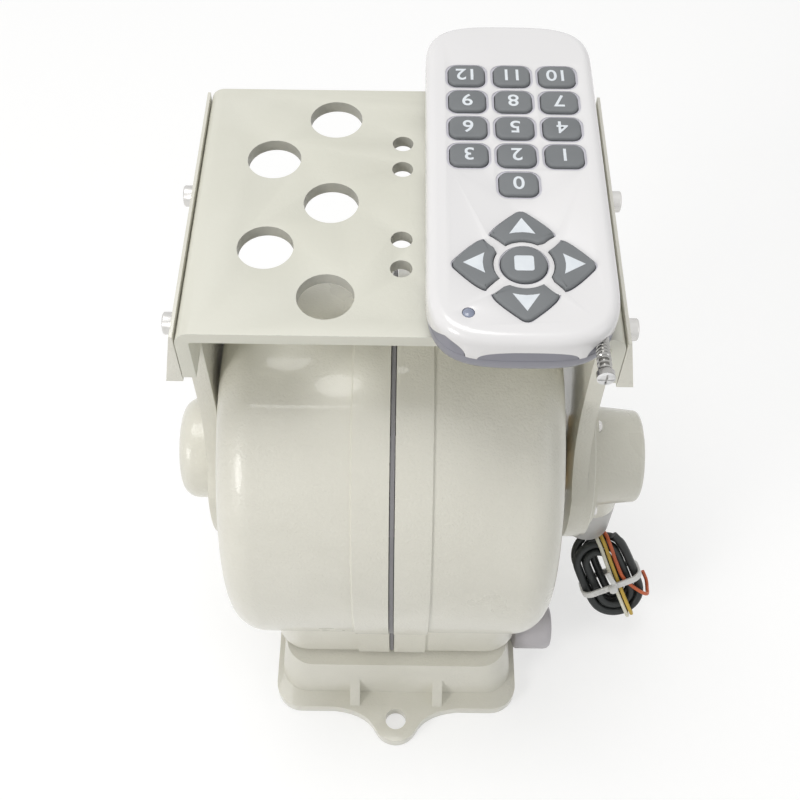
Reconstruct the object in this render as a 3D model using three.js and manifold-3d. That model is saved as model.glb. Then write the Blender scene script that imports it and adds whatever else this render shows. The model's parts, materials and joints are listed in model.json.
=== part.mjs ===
// Motorised pan and tilt head with its hand-held remote lying on the platform.
// Millimetres, +Z up. The origin is on the pan axis at the underside of the base,
// and the front of the head faces -Y.
import * as THREE from 'three';
import { mergeVertices } from 'three/addons/utils/BufferGeometryUtils.js';
import Module from 'manifold-3d';

const wasm = await Module();
wasm.setup();

// Shared clearances and counts
const gap = 0.3;              // between pieces that touch on the real head
const overrun = 2;            // how far a cutter runs past a face
const flangeGap = 0.5;        // under the platform flanges
const roundSteps = 18;        // sides of a small round piece
const holeSteps = 20;         // sides of a large hole
const hiddenSteps = 12;       // sides of a motor
const drumSteps = 40;         // sides of the drum
const cornerSteps = 4;        // chords in one rounded corner
const filletSteps = 4;        // chords in the drum's end fillet
const innerSteps = 2;         // chords in a hidden corner or fillet
const earSteps = 3;           // chords in each curve of an ear

// Base casting
const baseHeight = 34.4;
const baseWall = 5;
const baseRoof = 6;
const pedestalWidth = 110.8;
const pedestalDepth = 134;
const pedestalDraft = 3.8;    // how much wider each side is at the flange
const pedestalCorner = 14;
const flangeThickness = 6.9;
const flangeWidth = 123.4;
const flangeDepth = 158;
const flangeCorner = 13;
const earReach = 11.4;        // hole centre to ear tip
const earHole = 10.5;
const earSpread = 37;         // half width of an ear where it leaves the flange
const earOutFront = 6;        // hole centre beyond the flange's front edge
const earOutSide = 8;         // hole centre beyond the flange's side edge
const gussetThickness = 5;
const gussetHeight = 16;
const gussetReach = 11.5;
const gussetSpacing = 42;
const coverThickness = 3;
const coverScrewRadius = 1.5;
const coverScrewHeadRadius = 3;
const coverScrewHeadHeight = 1.6;
const coverScrewInset = 21;   // from the pedestal's front and rear
const coverBossRadius = 5;
const coverScrewLength = 14;

// Connector on the right side of the base
const connectorRadius = 11.5;
const connectorNeckRadius = 6.5;
const connectorY = -40;
const connectorZ = 22.6;
const connectorBodyLength = 14;
const connectorNeckLength = 6;
const connectorBevel = 2.2;

// Pan spindle, bearing and gears
const spindleRadius = 22;
const spindleBore = 15;
const spindleFlangeRadius = 32;
const spindleFlangeThickness = 4;
const spindleCollarRadius = 25;
const spindleCollarHeight = 2.5;
const bearingFlangeRadius = 40;
const bearingFlangeThickness = 2;
const bearingSleeve = 4;
const gearModule = 2;
const gearThickness = 8;
const panGearTeeth = 30;
const panHubHeight = 4;
const pinionTeeth = 12;
const tiltGearTeeth = 40;
const pressureAngle = 20 * Math.PI / 180;
const backlash = 0.3;
const rootClearance = 0.35;   // below the mating tip
const pinionShaftRadius = 3;
const pinionShaftLength = 12; // from the pinion's face into the motor
const centreSlack = 0.15;     // extra centre distance of a gear pair

// Turret drum and neck
const drumRise = 11;          // drum's lowest point above the neck's underside
const drumRadius = 82.4;
const bandProud = 1;
const bandWidth = 33;
const drumLeft = 73.4;
const drumRight = 66.9;
const drumFillet = 16;
const shellWall = 4;
const seamCentre = -2.4;
const seamWidth = 2.3;
const gasketInset = 1.4;
const gasketDepth = 5;
const neckWidth = 120;
const neckDepth = 120;
const neckCorner = 16;
const neckFloor = 4;
const neckRise = 73;          // how far the neck reaches up inside the drum
const panGap = 2.6;           // base top to neck underside
const neckUnder = baseHeight + panGap;
const tiltHeight = neckUnder + drumRise + drumRadius; // tilt axis above the ground
const hubRadius = 21;
const hubLength = 10;

// Tilt shaft and bushes
const shaftRadius = 10;
const shaftBore = 6;
const bushWall = 4.4;
const bushLip = 3;
const armGapLeft = 2;
const armGapRight = 7.8;

// Gear chassis, motors and control board
const chassisThickness = 4;
const chassisWidth = 100;
const chassisDepth = 100;
const chassisCorner = 8;
const chassisFoot = 6;
const chassisFootInset = 5.5; // foot's middle from the chassis edge
const chassisWallX = 36;
const chassisWallRadius = 71;
const chassisWallWidth = 92;
const panPlateGap = 4;        // gear top to chassis plate
const motorRadius = 17;
const panMotorLength = 48;
const tiltMotorLength = 58;
const motorBossRadius = 8;
const motorBossHeight = 2.5;
const motorBevel = 1.5;
const panMotorAngle = 135 * Math.PI / 180;
const tiltMotorAngle = 125 * Math.PI / 180;
const boardThickness = 1.6;
const boardWidth = 74;
const boardHeight = 70;
const boardInset = 3;         // board's middle from the chassis edge
const boardPartDepth = 7;
const boardPartWidth = 14;

// Tilt bracket
const platformWidth = 160;
const platformDepth = 128.6;
const platformThickness = 5;
const platformRise = 127.6;   // platform's top above the tilt axis
const platformTop = tiltHeight + platformRise;
const platformFlange = 26;
const platformBend = 6;
const platformBack = 31.5;    // platform centre behind the tilt axis
const largeHole = 21;
const largeInnerX = 27.1;
const largeOuterX = 50.5;
const largePitch = 46.4;
const smallHole = 8.2;
const smallOuterY = 32.8;
const smallInnerY = 18.5;
const armThickness = 6.8;
const discRadius = 38.5;
const waistFront = 16;        // waist edge in front of the tilt axis
const waistRear = 42;
const waistHeight = 68;       // waist above the tilt axis
const shoulderHeight = 12;
const shoulderInset = 3;
const headTopProud = 1.6;
const headLowProud = 6.6;
const headTopInset = 2;
const headCorner = 2;
const headChamfer = 0.6;
const screwHeadRadius = 4.25;
const screwHeadHeight = 5;
const screwShankRadius = 2.4;
const screwSeatRadius = 5.6;
const screwSocket = 2.3;
const screwSocketDepth = 2.6;
const screwFrontInset = 15.8; // from the platform's front edge
const screwRearInset = 48;    // from the platform's rear edge
const screwDrop = 14;         // below the platform's top

// Caps on the tilt axis
const leftCapRadius = 22.9;
const leftCapLength = 16;
const leftCapEdge = 7;
const capWall = 3;
const capDrop = 2.5;          // right cap's middle below the tilt axis
const rightFlangeRadius = 36.5;
const rightFlangeThickness = 5.6;
const rightFlangeStep = 2.4;
const rightStepRadius = 31.5;
const housingRadius = 23.2;
const housingTip = 21.2;
const housingLength = 22.4;
const housingEdge = 2.5;
const outletX = 94.8;
const outletRadius = 12;
const outletDrop = 41.2;      // from the tilt axis to the seam above the collar
const outletSeam = tiltHeight - outletDrop;
const collarLength = 23.8;
const outletLow = outletSeam - collarLength;
const glandRecess = 2.5;
const glandLip = 2;           // height inside the boss
const glandWall = 1.2;
const bossRoundover = 1;
const capBoreRadius = 17;
const shaftTail = 9;          // shaft beyond the left arm

// Cable hank under the outlet
const blackDiameter = 4.2;
const hankNest = [2, 1, 0, 1, 2]; // nests out from the innermost, one for each loop
const hankRun = 20;
const hankFold = 3.6;         // innermost fold
const hankSpacing = 4.6;      // from one nest to the next
const hankLayers = 4.8;       // between the rear and the front layer
const hankSteps = 8;          // chords in a half circle
const leadTurn = Math.PI * 0.34; // how far the cable comes round before its first run
const blackSides = 5;
const blackSteps = 108;
const hankCentre = new THREE.Vector3(109, -17.5, 40.3);
const hankAim = new THREE.Vector3(23, -27, -42).normalize();
const wireDiameter = 1.9;
const wireSides = 5;
const wireSteps = 24;
const tieWidth = 3;
const tieThickness = 1.2;
const tieHead = 4.6;
const tieCorner = 4.8;
const tieFront = 7.3;         // hank's middle to the band, in front and behind
const tieBack = 7.8;
const tieAlong = 4;

// Handset
const setLeft = 8.6;
const setRight = 75.1;
const setFront = -48.5;
const setBack = 116;
const setCorner = 16;
const lowerHeight = 7;
const upperHeight = 11.2;
const setWall = 2;
const setTopInset = 2.2;
const setTopRound = 2.2;
const setBottomInset = 3;
const padCentreX = 42.3;
const padCentreY = -15.3;
const keyPitchX = 17.75;
const keyPitchY = 14.8;
const keyRowOneY = 38;
const keyWidth = 14.2;
const keyDepth = 11.6;
const keyCorner = 4.2;
const keyProud = 1.1;
const keyTravel = 0.8;        // from the key's foot to the board, less the gap
const keyLip = 0.7;
const keyLipHeight = 1.4;
const centreKeyRadius = 8.1;
const arrowInner = 10.8;
const arrowTip = 24.6;
const arrowHalf = 11.2;
const arrowShoulder = 13.4;
const arrowInnerAngle = 0.62; // half the opening of the inner arc, in radians
const arrowHeel = 1.2;
const arrowTipRound = 2.6;
const boardDrop = 7.2;        // handset board below the upper shell's top
const setBoardThickness = 1.6;
const setBoardInset = 11;
const setPostRadius = 3;
const ledRadius = 2.1;
const ledX = 22.7;
const ledY = -36.5;
const mastX = 68.2;
const mastRadius = 1.5;
const mastInside = 62;
const mastOutside = 9;
const mastTipRadius = 3.1;
const mastTipLength = 3.6;
const socketRadius = 2.4;
const socketLength = 11;
const socketProud = 4;

// Finishes
const paint = { color: 0xd6d2c0, roughness: 0.45, metalness: 0.1 };
const paintPale = { color: 0xdedccd, roughness: 0.45, metalness: 0.1 };
const steel = { color: 0xb8b8b4, roughness: 0.3, metalness: 0.9 };
const greyMetal = { color: 0xa8a6a2, roughness: 0.5, metalness: 0.6 };
const bronze = { color: 0xa07c45, roughness: 0.4, metalness: 0.8 };
const blackRubber = { color: 0x1c201f, roughness: 0.6, metalness: 0 };
const gasketGrey = { color: 0x787572, roughness: 0.8, metalness: 0 };
const boardGreen = { color: 0x1f5a38, roughness: 0.5, metalness: 0 };
const whitePlastic = { color: 0xeeece8, roughness: 0.35, metalness: 0 };
const greyPlastic = { color: 0x8f8f99, roughness: 0.4, metalness: 0 };
const keyGrey = { color: 0x7d8184, roughness: 0.6, metalness: 0 };
const yellowPlastic = { color: 0xc9a53a, roughness: 0.5, metalness: 0 };
const orangePlastic = { color: 0xc85a30, roughness: 0.5, metalness: 0 };

const group = new THREE.Group();

// Solids and meshes

function toSolid(geometry) {
  const bare = geometry.clone();
  for (const name of Object.keys(bare.attributes)) {
    if (name !== 'position') bare.deleteAttribute(name);
  }
  const merged = mergeVertices(bare.index ? bare.toNonIndexed() : bare, 1e-4);
  const index = merged.index.array;
  const kept = [];
  for (let i = 0; i < index.length; i += 3) {
    const [a, b, c] = [index[i], index[i + 1], index[i + 2]];
    if (a !== b && b !== c && c !== a) kept.push(a, b, c);
  }
  return new wasm.Manifold(new wasm.Mesh({
    numProp: 3,
    vertProperties: new Float32Array(merged.attributes.position.array),
    triVerts: new Uint32Array(kept),
  }));
}

function toGeometry(solid) {
  const data = solid.getMesh();
  const geometry = new THREE.BufferGeometry();
  geometry.setAttribute('position', new THREE.BufferAttribute(data.vertProperties, 3));
  geometry.setIndex(new THREE.BufferAttribute(data.triVerts, 1));
  return geometry;
}

function add(name, shape, finish) {
  const geometry = shape.isBufferGeometry ? shape : toGeometry(shape);
  geometry.computeVertexNormals();
  const mesh = new THREE.Mesh(geometry, new THREE.MeshStandardMaterial(finish));
  mesh.name = name;
  group.add(mesh);
  return mesh;
}

const joined = (first, ...rest) => rest.reduce((sum, one) => sum.add(one), first);
const without = (first, ...rest) => rest.reduce((sum, one) => sum.subtract(one), first);

// Rings of points around an axis, joined into a closed skin with flat ends
function loft(rings) {
  const points = [];
  const count = rings[0].length;
  const put = (...corners) => corners.forEach((p) => points.push(p.x, p.y, p.z));
  for (let r = 0; r + 1 < rings.length; r += 1) {
    for (let i = 0; i < count; i += 1) {
      const j = (i + 1) % count;
      const [a, b, c, d] = [rings[r][i], rings[r][j], rings[r + 1][j], rings[r + 1][i]];
      put(a, b, c);
      put(a, c, d);
    }
  }
  const [first, last] = [rings[0], rings[rings.length - 1]];
  for (let i = 1; i + 1 < count; i += 1) {
    put(first[0], first[i + 1], first[i]);
    put(last[0], last[i], last[i + 1]);
  }
  const geometry = new THREE.BufferGeometry();
  geometry.setAttribute('position', new THREE.Float32BufferAttribute(points, 3));
  return geometry;
}

function roundedShape(width, depth, corner) {
  const [w, d] = [width / 2 - corner, depth / 2 - corner];
  const shape = new THREE.Shape();
  shape.absarc(w, d, corner, 0, Math.PI / 2);
  shape.absarc(-w, d, corner, Math.PI / 2, Math.PI);
  shape.absarc(-w, -d, corner, Math.PI, Math.PI * 3 / 2);
  shape.absarc(w, -d, corner, Math.PI * 3 / 2, Math.PI * 2);
  return shape;
}

function roundedRing(width, depth, corner, z, x = 0, y = 0, steps = cornerSteps) {
  const points = [];
  const centres = [[1, 1, 0], [-1, 1, 1], [-1, -1, 2], [1, -1, 3]];
  for (const [sx, sy, turn] of centres) {
    for (let i = 0; i <= steps; i += 1) {
      const angle = (turn + i / steps) * Math.PI / 2;
      points.push(new THREE.Vector3(
        x + sx * (width / 2 - corner) + corner * Math.cos(angle),
        y + sy * (depth / 2 - corner) + corner * Math.sin(angle),
        z,
      ));
    }
  }
  return points;
}

function block(width, depth, height, corner, z, x = 0, y = 0, steps = cornerSteps) {
  return toSolid(loft([
    roundedRing(width, depth, corner, z, x, y, steps),
    roundedRing(width, depth, corner, z + height, x, y, steps),
  ]));
}
const chamfered = (width, depth, height, corner, z, x, y) => (
  block(width, depth, height, corner, z, x, y, 1)
);

// A flat outline, extruded upwards from z
function plate(shape, height, z, steps = 1) {
  const geometry = new THREE.ExtrudeGeometry(shape, {
    depth: height, bevelEnabled: false, curveSegments: steps,
  });
  geometry.translate(0, 0, z);
  return toSolid(geometry);
}

// A profile of [radius, height] pairs, turned about the Z axis
function turned(profile, steps = roundSteps) {
  const points = profile.map(([radius, height]) => new THREE.Vector2(radius, height));
  const geometry = new THREE.LatheGeometry(points, steps);
  geometry.rotateX(Math.PI / 2);
  return toSolid(geometry);
}

const rod = (radius, low, high, steps) => turned(
  [[0, low], [radius, low], [radius, high], [0, high]], steps,
);

function tube(bore, radius, low, high, steps) {
  return turned([[bore, low], [radius, low], [radius, high], [bore, high], [bore, low]], steps);
}

// Turns a piece made about Z so that its axis runs along X through the tilt axis
function alongX(solid, y = 0, z = tiltHeight) {
  const turn = new THREE.Matrix4().makeRotationY(Math.PI / 2);
  const matrix = new THREE.Matrix4().makeTranslation(0, y, z).multiply(turn);
  return solid.transform(matrix.elements);
}

// A rod or a tube along Y
function alongY(solid, x, z) {
  const turn = new THREE.Matrix4().makeRotationX(-Math.PI / 2);
  const matrix = new THREE.Matrix4().makeTranslation(x, 0, z).multiply(turn);
  return solid.transform(matrix.elements);
}

// An outline drawn in (Y, Z), extruded along X from x to x + thickness
function sidePlate(shape, thickness, x, steps = 1) {
  const basis = new THREE.Matrix4().makeBasis(
    new THREE.Vector3(0, 1, 0), new THREE.Vector3(0, 0, 1), new THREE.Vector3(1, 0, 0),
  );
  return plate(shape, thickness, x, steps).transform(basis.elements);
}

// Base

function earOutline(edge, out) {
  const centre = edge + out;
  const shape = new THREE.Shape();
  const inside = edge - earSpread;
  const angle = Math.PI / 3;
  const tangent = [earReach * Math.sin(angle), centre + earReach * Math.cos(angle)];
  shape.moveTo(-earSpread, inside);
  shape.lineTo(earSpread, inside);
  shape.lineTo(earSpread, edge - gap);
  shape.quadraticCurveTo(tangent[0] + earReach / 2, edge, tangent[0], tangent[1]);
  shape.absarc(0, centre, earReach, Math.PI / 2 - angle, Math.PI / 2 + angle);
  shape.quadraticCurveTo(-tangent[0] - earReach / 2, edge, -earSpread, edge - gap);
  return shape;
}

const earPlaces = [
  { turn: 0, edge: flangeDepth / 2, out: earOutFront },
  { turn: Math.PI / 2, edge: flangeWidth / 2, out: earOutSide },
  { turn: Math.PI, edge: flangeDepth / 2, out: earOutFront },
  { turn: Math.PI * 3 / 2, edge: flangeWidth / 2, out: earOutSide },
];
const degrees = 180 / Math.PI;
const coverWidth = pedestalWidth - 2 * baseWall;
const coverDepth = pedestalDepth - 2 * baseWall;
const coverCorner = pedestalCorner - baseWall;
const connectorIn = pedestalWidth / 2 - baseWall;
const roofUnder = baseHeight - baseRoof;
const coverScrewY = pedestalDepth / 2 - coverScrewInset;
const coverScrewPlaces = [-coverScrewY, coverScrewY];

function makeBase() {
  let body = block(flangeWidth, flangeDepth, flangeThickness, flangeCorner, 0);
  for (const { turn, edge, out } of earPlaces) {
    const ear = plate(earOutline(edge, out), flangeThickness, 0, earSteps);
    const hole = rod(earHole / 2, -overrun, flangeThickness + overrun).translate([0, edge + out, 0]);
    body = body.add(without(ear, hole).rotate([0, 0, turn * degrees]));
  }
  const wide = pedestalWidth + 2 * pedestalDraft;
  const deep = pedestalDepth + 2 * pedestalDraft;
  body = body.add(toSolid(loft([
    roundedRing(wide, deep, pedestalCorner, flangeThickness - gap),
    roundedRing(pedestalWidth + gap, pedestalDepth + gap, pedestalCorner, baseHeight - 1.5 * gap),
    roundedRing(pedestalWidth - gap, pedestalDepth - gap, pedestalCorner, baseHeight),
  ])));
  const rib = new THREE.Shape();
  rib.moveTo(pedestalDepth / 2 - baseWall, flangeThickness - gap);
  rib.lineTo(pedestalDepth / 2 + gussetReach, flangeThickness - gap);
  rib.lineTo(pedestalDepth / 2 - gap, flangeThickness + gussetHeight);
  rib.lineTo(pedestalDepth / 2 - baseWall, flangeThickness + gussetHeight);
  for (const x of [-gussetSpacing / 2, gussetSpacing / 2]) {
    const one = sidePlate(rib, gussetThickness, x - gussetThickness / 2);
    body = body.add(one).add(one.mirror([0, 1, 0]));
  }
  const cavity = toSolid(loft([
    roundedRing(coverWidth, coverDepth, coverCorner, -overrun, 0, 0, innerSteps),
    roundedRing(coverWidth, coverDepth, coverCorner, roofUnder, 0, 0, innerSteps),
  ]));
  body = body.subtract(cavity);
  for (const y of coverScrewPlaces) {
    const boss = rod(coverBossRadius, coverThickness + gap, roofUnder + gap).translate([0, y, 0]);
    const pilot = rod(coverScrewRadius + gap, 0, coverScrewLength + overrun).translate([0, y, 0]);
    body = body.add(boss).subtract(pilot);
  }
  body = body.subtract(rod(spindleRadius + gap, roofUnder - overrun, baseHeight + overrun));
  const port = rod(connectorNeckRadius + gap, connectorIn - overrun, pedestalWidth);
  return body.subtract(alongX(port, connectorY, connectorZ));
}

add('base_casting', makeBase(), paint);

let cover = block(
  coverWidth - 2 * gap, coverDepth - 2 * gap, coverThickness, coverCorner - gap, 0, 0, 0, innerSteps,
);
for (const y of coverScrewPlaces) {
  const head = rod(coverScrewHeadRadius + gap, -overrun, coverScrewHeadHeight + 2 * gap);
  const hole = rod(coverScrewRadius + gap, -overrun, coverThickness + overrun);
  cover = without(cover, head.translate([0, y, 0]), hole.translate([0, y, 0]));
}
add('base_cover', cover, greyMetal);

coverScrewPlaces.forEach((y, i) => {
  const screw = turned([
    [0, gap], [coverScrewHeadRadius, gap], [coverScrewHeadRadius, gap + coverScrewHeadHeight],
    [coverScrewRadius, gap + coverScrewHeadHeight], [coverScrewRadius, coverScrewLength],
    [0, coverScrewLength],
  ], roundSteps / 2);
  add(`cover_screw_${i + 1}`, screw.translate([0, y, 0]), steel);
});

const connectorFace = pedestalWidth / 2 + pedestalDraft + gap;
const connectorEnd = connectorFace + connectorNeckLength + connectorBodyLength;
const connector = turned([
  [0, connectorIn], [connectorNeckRadius, connectorIn], [connectorNeckRadius, connectorFace],
  [connectorRadius - connectorBevel, connectorFace + connectorNeckLength / 2],
  [connectorRadius, connectorFace + connectorNeckLength],
  [connectorRadius, connectorEnd - connectorBevel],
  [connectorRadius - connectorBevel, connectorEnd], [0, connectorEnd],
]);
add('base_connector', alongX(connector, connectorY, connectorZ), greyMetal);

// Pan spindle, bearing and gears

// Spur gear outline: tooth widths from the involute at the root, tip and, on a pinion, the pitch circle
function gearOutline(teeth, phase) {
  const pitch = gearModule * teeth / 2;
  const tip = pitch + gearModule;
  const root = pitch - gearModule - rootClearance;
  const baseCircle = pitch * Math.cos(pressureAngle);
  const spread = (r) => {
    const roll = Math.sqrt(Math.max(0, (r / baseCircle) ** 2 - 1));
    return roll - Math.atan(roll);
  };
  const half = Math.PI / (2 * teeth) - backlash / (2 * pitch);
  const halfAt = (r) => half + spread(pitch) - spread(Math.max(r, baseCircle));
  const radii = teeth > pinionTeeth ? [root, tip] : [root, pitch, tip];
  const points = [];
  for (let i = 0; i < teeth; i += 1) {
    const centre = phase + i * 2 * Math.PI / teeth;
    const rising = radii.map((r) => [r, centre - halfAt(r)]);
    const falling = radii.map((r) => [r, centre + halfAt(r)]).reverse();
    for (const [r, angle] of [...rising, ...falling]) {
      points.push(new THREE.Vector2(r * Math.cos(angle), r * Math.sin(angle)));
    }
  }
  return new THREE.Shape(points);
}

const pitchRadius = (teeth) => gearModule * teeth / 2;
const neckTopOfFloor = neckUnder + neckFloor;
const panHubLow = neckTopOfFloor + gap + bearingFlangeThickness / 2;
const panGearLow = panHubLow + panHubHeight;
const panGearHigh = panGearLow + gearThickness;
const spindleLow = roofUnder - gap - spindleFlangeThickness;
const spindleTop = panGearHigh + gap + spindleCollarHeight;

const spindle = turned([
  [spindleBore, spindleLow], [spindleFlangeRadius, spindleLow],
  [spindleFlangeRadius, spindleLow + spindleFlangeThickness],
  [spindleRadius, spindleLow + spindleFlangeThickness],
  [spindleRadius, panGearHigh + gap], [spindleCollarRadius, panGearHigh + gap],
  [spindleCollarRadius, spindleTop], [spindleBore, spindleTop], [spindleBore, spindleLow],
], roundSteps);
add('pan_spindle', spindle, steel);

const gearBore = rod(spindleRadius + gap, panHubLow - overrun, panGearHigh + overrun);
const panHub = rod(spindleRadius + bearingSleeve + gearModule, panHubLow, panGearLow + gap);
const panPinionDistance = pitchRadius(panGearTeeth) + pitchRadius(pinionTeeth) + centreSlack;
const panTeeth = plate(gearOutline(panGearTeeth, panMotorAngle), gearThickness, panGearLow);
add('pan_gear', panTeeth.add(panHub).subtract(gearBore), steel);

// The bore clears the spindle's corners at every angle, so it is wider by its own flats
const bearingBore = (spindleRadius + gap) / Math.cos(Math.PI / roundSteps);
const bearing = turned([
  [bearingBore, baseHeight + gap], [bearingFlangeRadius, baseHeight + gap],
  [bearingFlangeRadius, baseHeight + gap + bearingFlangeThickness],
  [spindleRadius + bearingSleeve, baseHeight + gap + bearingFlangeThickness],
  [spindleRadius + bearingSleeve, neckTopOfFloor], [bearingBore, neckTopOfFloor],
  [bearingBore, baseHeight + gap],
]);
add('pan_bearing', bearing, bronze);

// A pinion and its motor shaft about Z, teeth from 0 down, shaft upwards
function pinion(phase) {
  const teeth = plate(gearOutline(pinionTeeth, phase), gearThickness, 0);
  const shaftEnd = gearThickness + pinionShaftLength;
  const shaft = rod(pinionShaftRadius, gearThickness - gap, shaftEnd, roundSteps / 2);
  return teeth.add(shaft);
}

// The pinion meets the gear with one of its spaces facing the gear's tooth
const facing = (angle) => angle + Math.PI + Math.PI / pinionTeeth;
const panPinionX = panPinionDistance * Math.cos(panMotorAngle);
const panPinionY = panPinionDistance * Math.sin(panMotorAngle);
add('pan_pinion', pinion(facing(panMotorAngle)).translate([panPinionX, panPinionY, panGearLow]), bronze);

// Turret shells

const drumProfile = (radius, left, right, fillet, band, steps) => {
  const points = [[0, -left]];
  for (let i = 0; i <= steps; i += 1) {
    const angle = Math.PI / 2 * i / steps;
    points.push([radius - fillet * (1 - Math.sin(angle)), -left + fillet * (1 - Math.cos(angle))]);
  }
  if (band > 0) {
    const [low, high] = [seamCentre - bandWidth / 2, seamCentre + bandWidth / 2];
    points.push([radius, low], [radius + band, low + band]);
    points.push([radius + band, high - band], [radius, high]);
  }
  for (let i = steps; i >= 0; i -= 1) {
    const angle = Math.PI / 2 * i / steps;
    points.push([radius - fillet * (1 - Math.sin(angle)), right - fillet * (1 - Math.cos(angle))]);
  }
  points.push([0, right]);
  return points;
};

const neckOuter = block(neckWidth, neckDepth, neckRise, neckCorner, neckUnder);
const neckInner = block(
  neckWidth - 2 * shellWall, neckDepth - 2 * shellWall, neckRise - neckFloor,
  neckCorner - shellWall, neckTopOfFloor, 0, 0, innerSteps,
);
const neckBandDepth = neckDepth + 2 * bandProud;
const neckBand = block(bandWidth, neckBandDepth, neckRise, bandProud, neckUnder, seamCentre);
const drumOuter = alongX(turned(
  drumProfile(drumRadius, drumLeft, drumRight, drumFillet, bandProud, filletSteps), drumSteps,
));
const drumInner = alongX(turned(drumProfile(
  drumRadius - shellWall, drumLeft - shellWall, drumRight - shellWall, drumFillet - shellWall, 0,
  innerSteps,
), drumSteps));
const hubSpan = (side) => (side < 0
  ? [-drumLeft + gap, -drumLeft + shellWall + hubLength]
  : [drumRight - shellWall - hubLength, drumRight - gap]);
const hub = (side) => alongX(rod(hubRadius, ...hubSpan(side)));
const bushHole = alongX(rod(shaftRadius + bushWall + gap, -drumLeft - overrun, drumRight + overrun));
const floorHole = rod(spindleRadius + bearingSleeve + gap, neckUnder - overrun, neckTopOfFloor + overrun);
const wholeShell = without(
  without(joined(drumOuter, neckOuter, neckBand), drumInner.add(neckInner)).add(hub(-1)).add(hub(1)),
  bushHole, floorHole,
);
const reach = 2 * platformWidth;
const halfSpace = (from, to) => toSolid(new THREE.BoxGeometry(to - from, reach, reach)
  .translate((from + to) / 2, 0, tiltHeight));
const seamLeft = seamCentre - seamWidth / 2;
const seamRight = seamCentre + seamWidth / 2;
add('left_shell', wholeShell.intersect(halfSpace(-reach, seamLeft)), paint);
add('right_shell', wholeShell.intersect(halfSpace(seamRight, reach)), paint);

// The gasket follows the joint face, set back a little from the painted surface
const sealOuter = joined(
  alongX(rod(drumRadius + bandProud - gasketInset, seamLeft + gap, seamRight - gap, drumSteps)),
  block(seamWidth - 2 * gap, neckDepth + 2 * bandProud - 2 * gasketInset, neckRise - overrun,
    gap, neckUnder + gasketInset, seamCentre),
);
const sealInner = joined(
  alongX(rod(drumRadius - gasketDepth, -reach, reach, drumSteps)),
  block(bandWidth, neckDepth - 2 * gasketDepth, neckRise, gap, neckUnder + gasketDepth, seamCentre),
);
const sealHole = rod(spindleRadius + bearingSleeve + gasketInset, 0, neckTopOfFloor + overrun);
add('shell_gasket', without(sealOuter, sealInner, sealHole), gasketGrey);

// Gear chassis on four feet, with a wall that carries the tilt motor
const chassisLow = panGearHigh + panPlateGap;
const chassisHigh = chassisLow + chassisThickness;
const tiltPinionDistance = pitchRadius(tiltGearTeeth) + pitchRadius(pinionTeeth) + centreSlack;
const tiltPinionY = tiltPinionDistance * Math.cos(tiltMotorAngle);
const tiltPinionZ = tiltHeight + tiltPinionDistance * Math.sin(tiltMotorAngle);
const wallHigh = Math.sqrt(chassisWallRadius ** 2 - (chassisWallWidth / 2) ** 2);
const wallOutline = new THREE.Shape();
wallOutline.moveTo(-chassisWallWidth / 2, chassisLow);
wallOutline.lineTo(chassisWallWidth / 2, chassisLow);
wallOutline.lineTo(chassisWallWidth / 2, tiltHeight + wallHigh);
const wallAngle = Math.atan2(wallHigh, chassisWallWidth / 2);
wallOutline.absarc(0, tiltHeight, chassisWallRadius, wallAngle, Math.PI - wallAngle);
const footX = chassisWidth / 2 - chassisFootInset;
const footY = chassisDepth / 2 - chassisFootInset;
let chassis = block(
  chassisWidth, chassisDepth, chassisThickness, chassisCorner, chassisLow, 0, 0, innerSteps,
);
for (const [sx, sy] of [[1, 1], [-1, 1], [-1, -1], [1, -1]]) {
  chassis = chassis.add(chamfered(
    chassisFoot, chassisFoot, chassisLow - neckTopOfFloor, gap, neckTopOfFloor + gap, sx * footX, sy * footY,
  ));
}
const wall = sidePlate(wallOutline, chassisThickness, chassisWallX, cornerSteps);
chassis = without(
  chassis.add(wall),
  rod(spindleCollarRadius + overrun, chassisLow - overrun, chassisHigh + overrun),
  rod(motorBossRadius + gap, chassisLow - overrun, chassisHigh + overrun)
    .translate([panPinionX, panPinionY, 0]),
  alongX(rod(shaftRadius + overrun, chassisWallX - overrun, chassisWallX + chassisThickness + overrun)),
  alongX(rod(motorBossRadius + gap, chassisWallX - overrun, chassisWallX + chassisThickness + overrun),
    tiltPinionY, tiltPinionZ),
);
add('gear_chassis', chassis, greyMetal);

// A gear motor about Z, its boss pointing down from the mounting face at zero
function motor(length) {
  const hole = pinionShaftRadius + gap;
  return turned([
    [0, gap + 2 * pinionShaftLength / 3], [hole, gap + 2 * pinionShaftLength / 3], [hole, -motorBossHeight],
    [motorBossRadius, -motorBossHeight], [motorBossRadius, gap], [motorRadius, gap],
    [motorRadius, length - motorBevel], [motorRadius - motorBevel, length], [0, length],
  ], hiddenSteps);
}
add('pan_motor', motor(panMotorLength).translate([panPinionX, panPinionY, chassisHigh]), steel);

// Tilt gear set, right of the chassis wall; its motor lies to the left
const tiltGearX = chassisWallX + chassisThickness + panPlateGap;
const tiltGearPhase = Math.atan2(tiltPinionZ - tiltHeight, tiltPinionY);
// alongX turns local X into -Z and keeps local Y, so an angle in (Y, Z) becomes a local one
const localAngle = (angle) => Math.atan2(Math.cos(angle), -Math.sin(angle));
const tiltTeeth = plate(gearOutline(tiltGearTeeth, localAngle(tiltGearPhase)), gearThickness, tiltGearX);
const tiltHub = rod(shaftRadius + bushWall + gearModule, tiltGearX, drumRight - shellWall - hubLength - gap);
const shaftHole = rod(shaftRadius + gap, -reach, reach);
add('tilt_gear', alongX(without(tiltTeeth.add(tiltHub), shaftHole)), steel);

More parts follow.
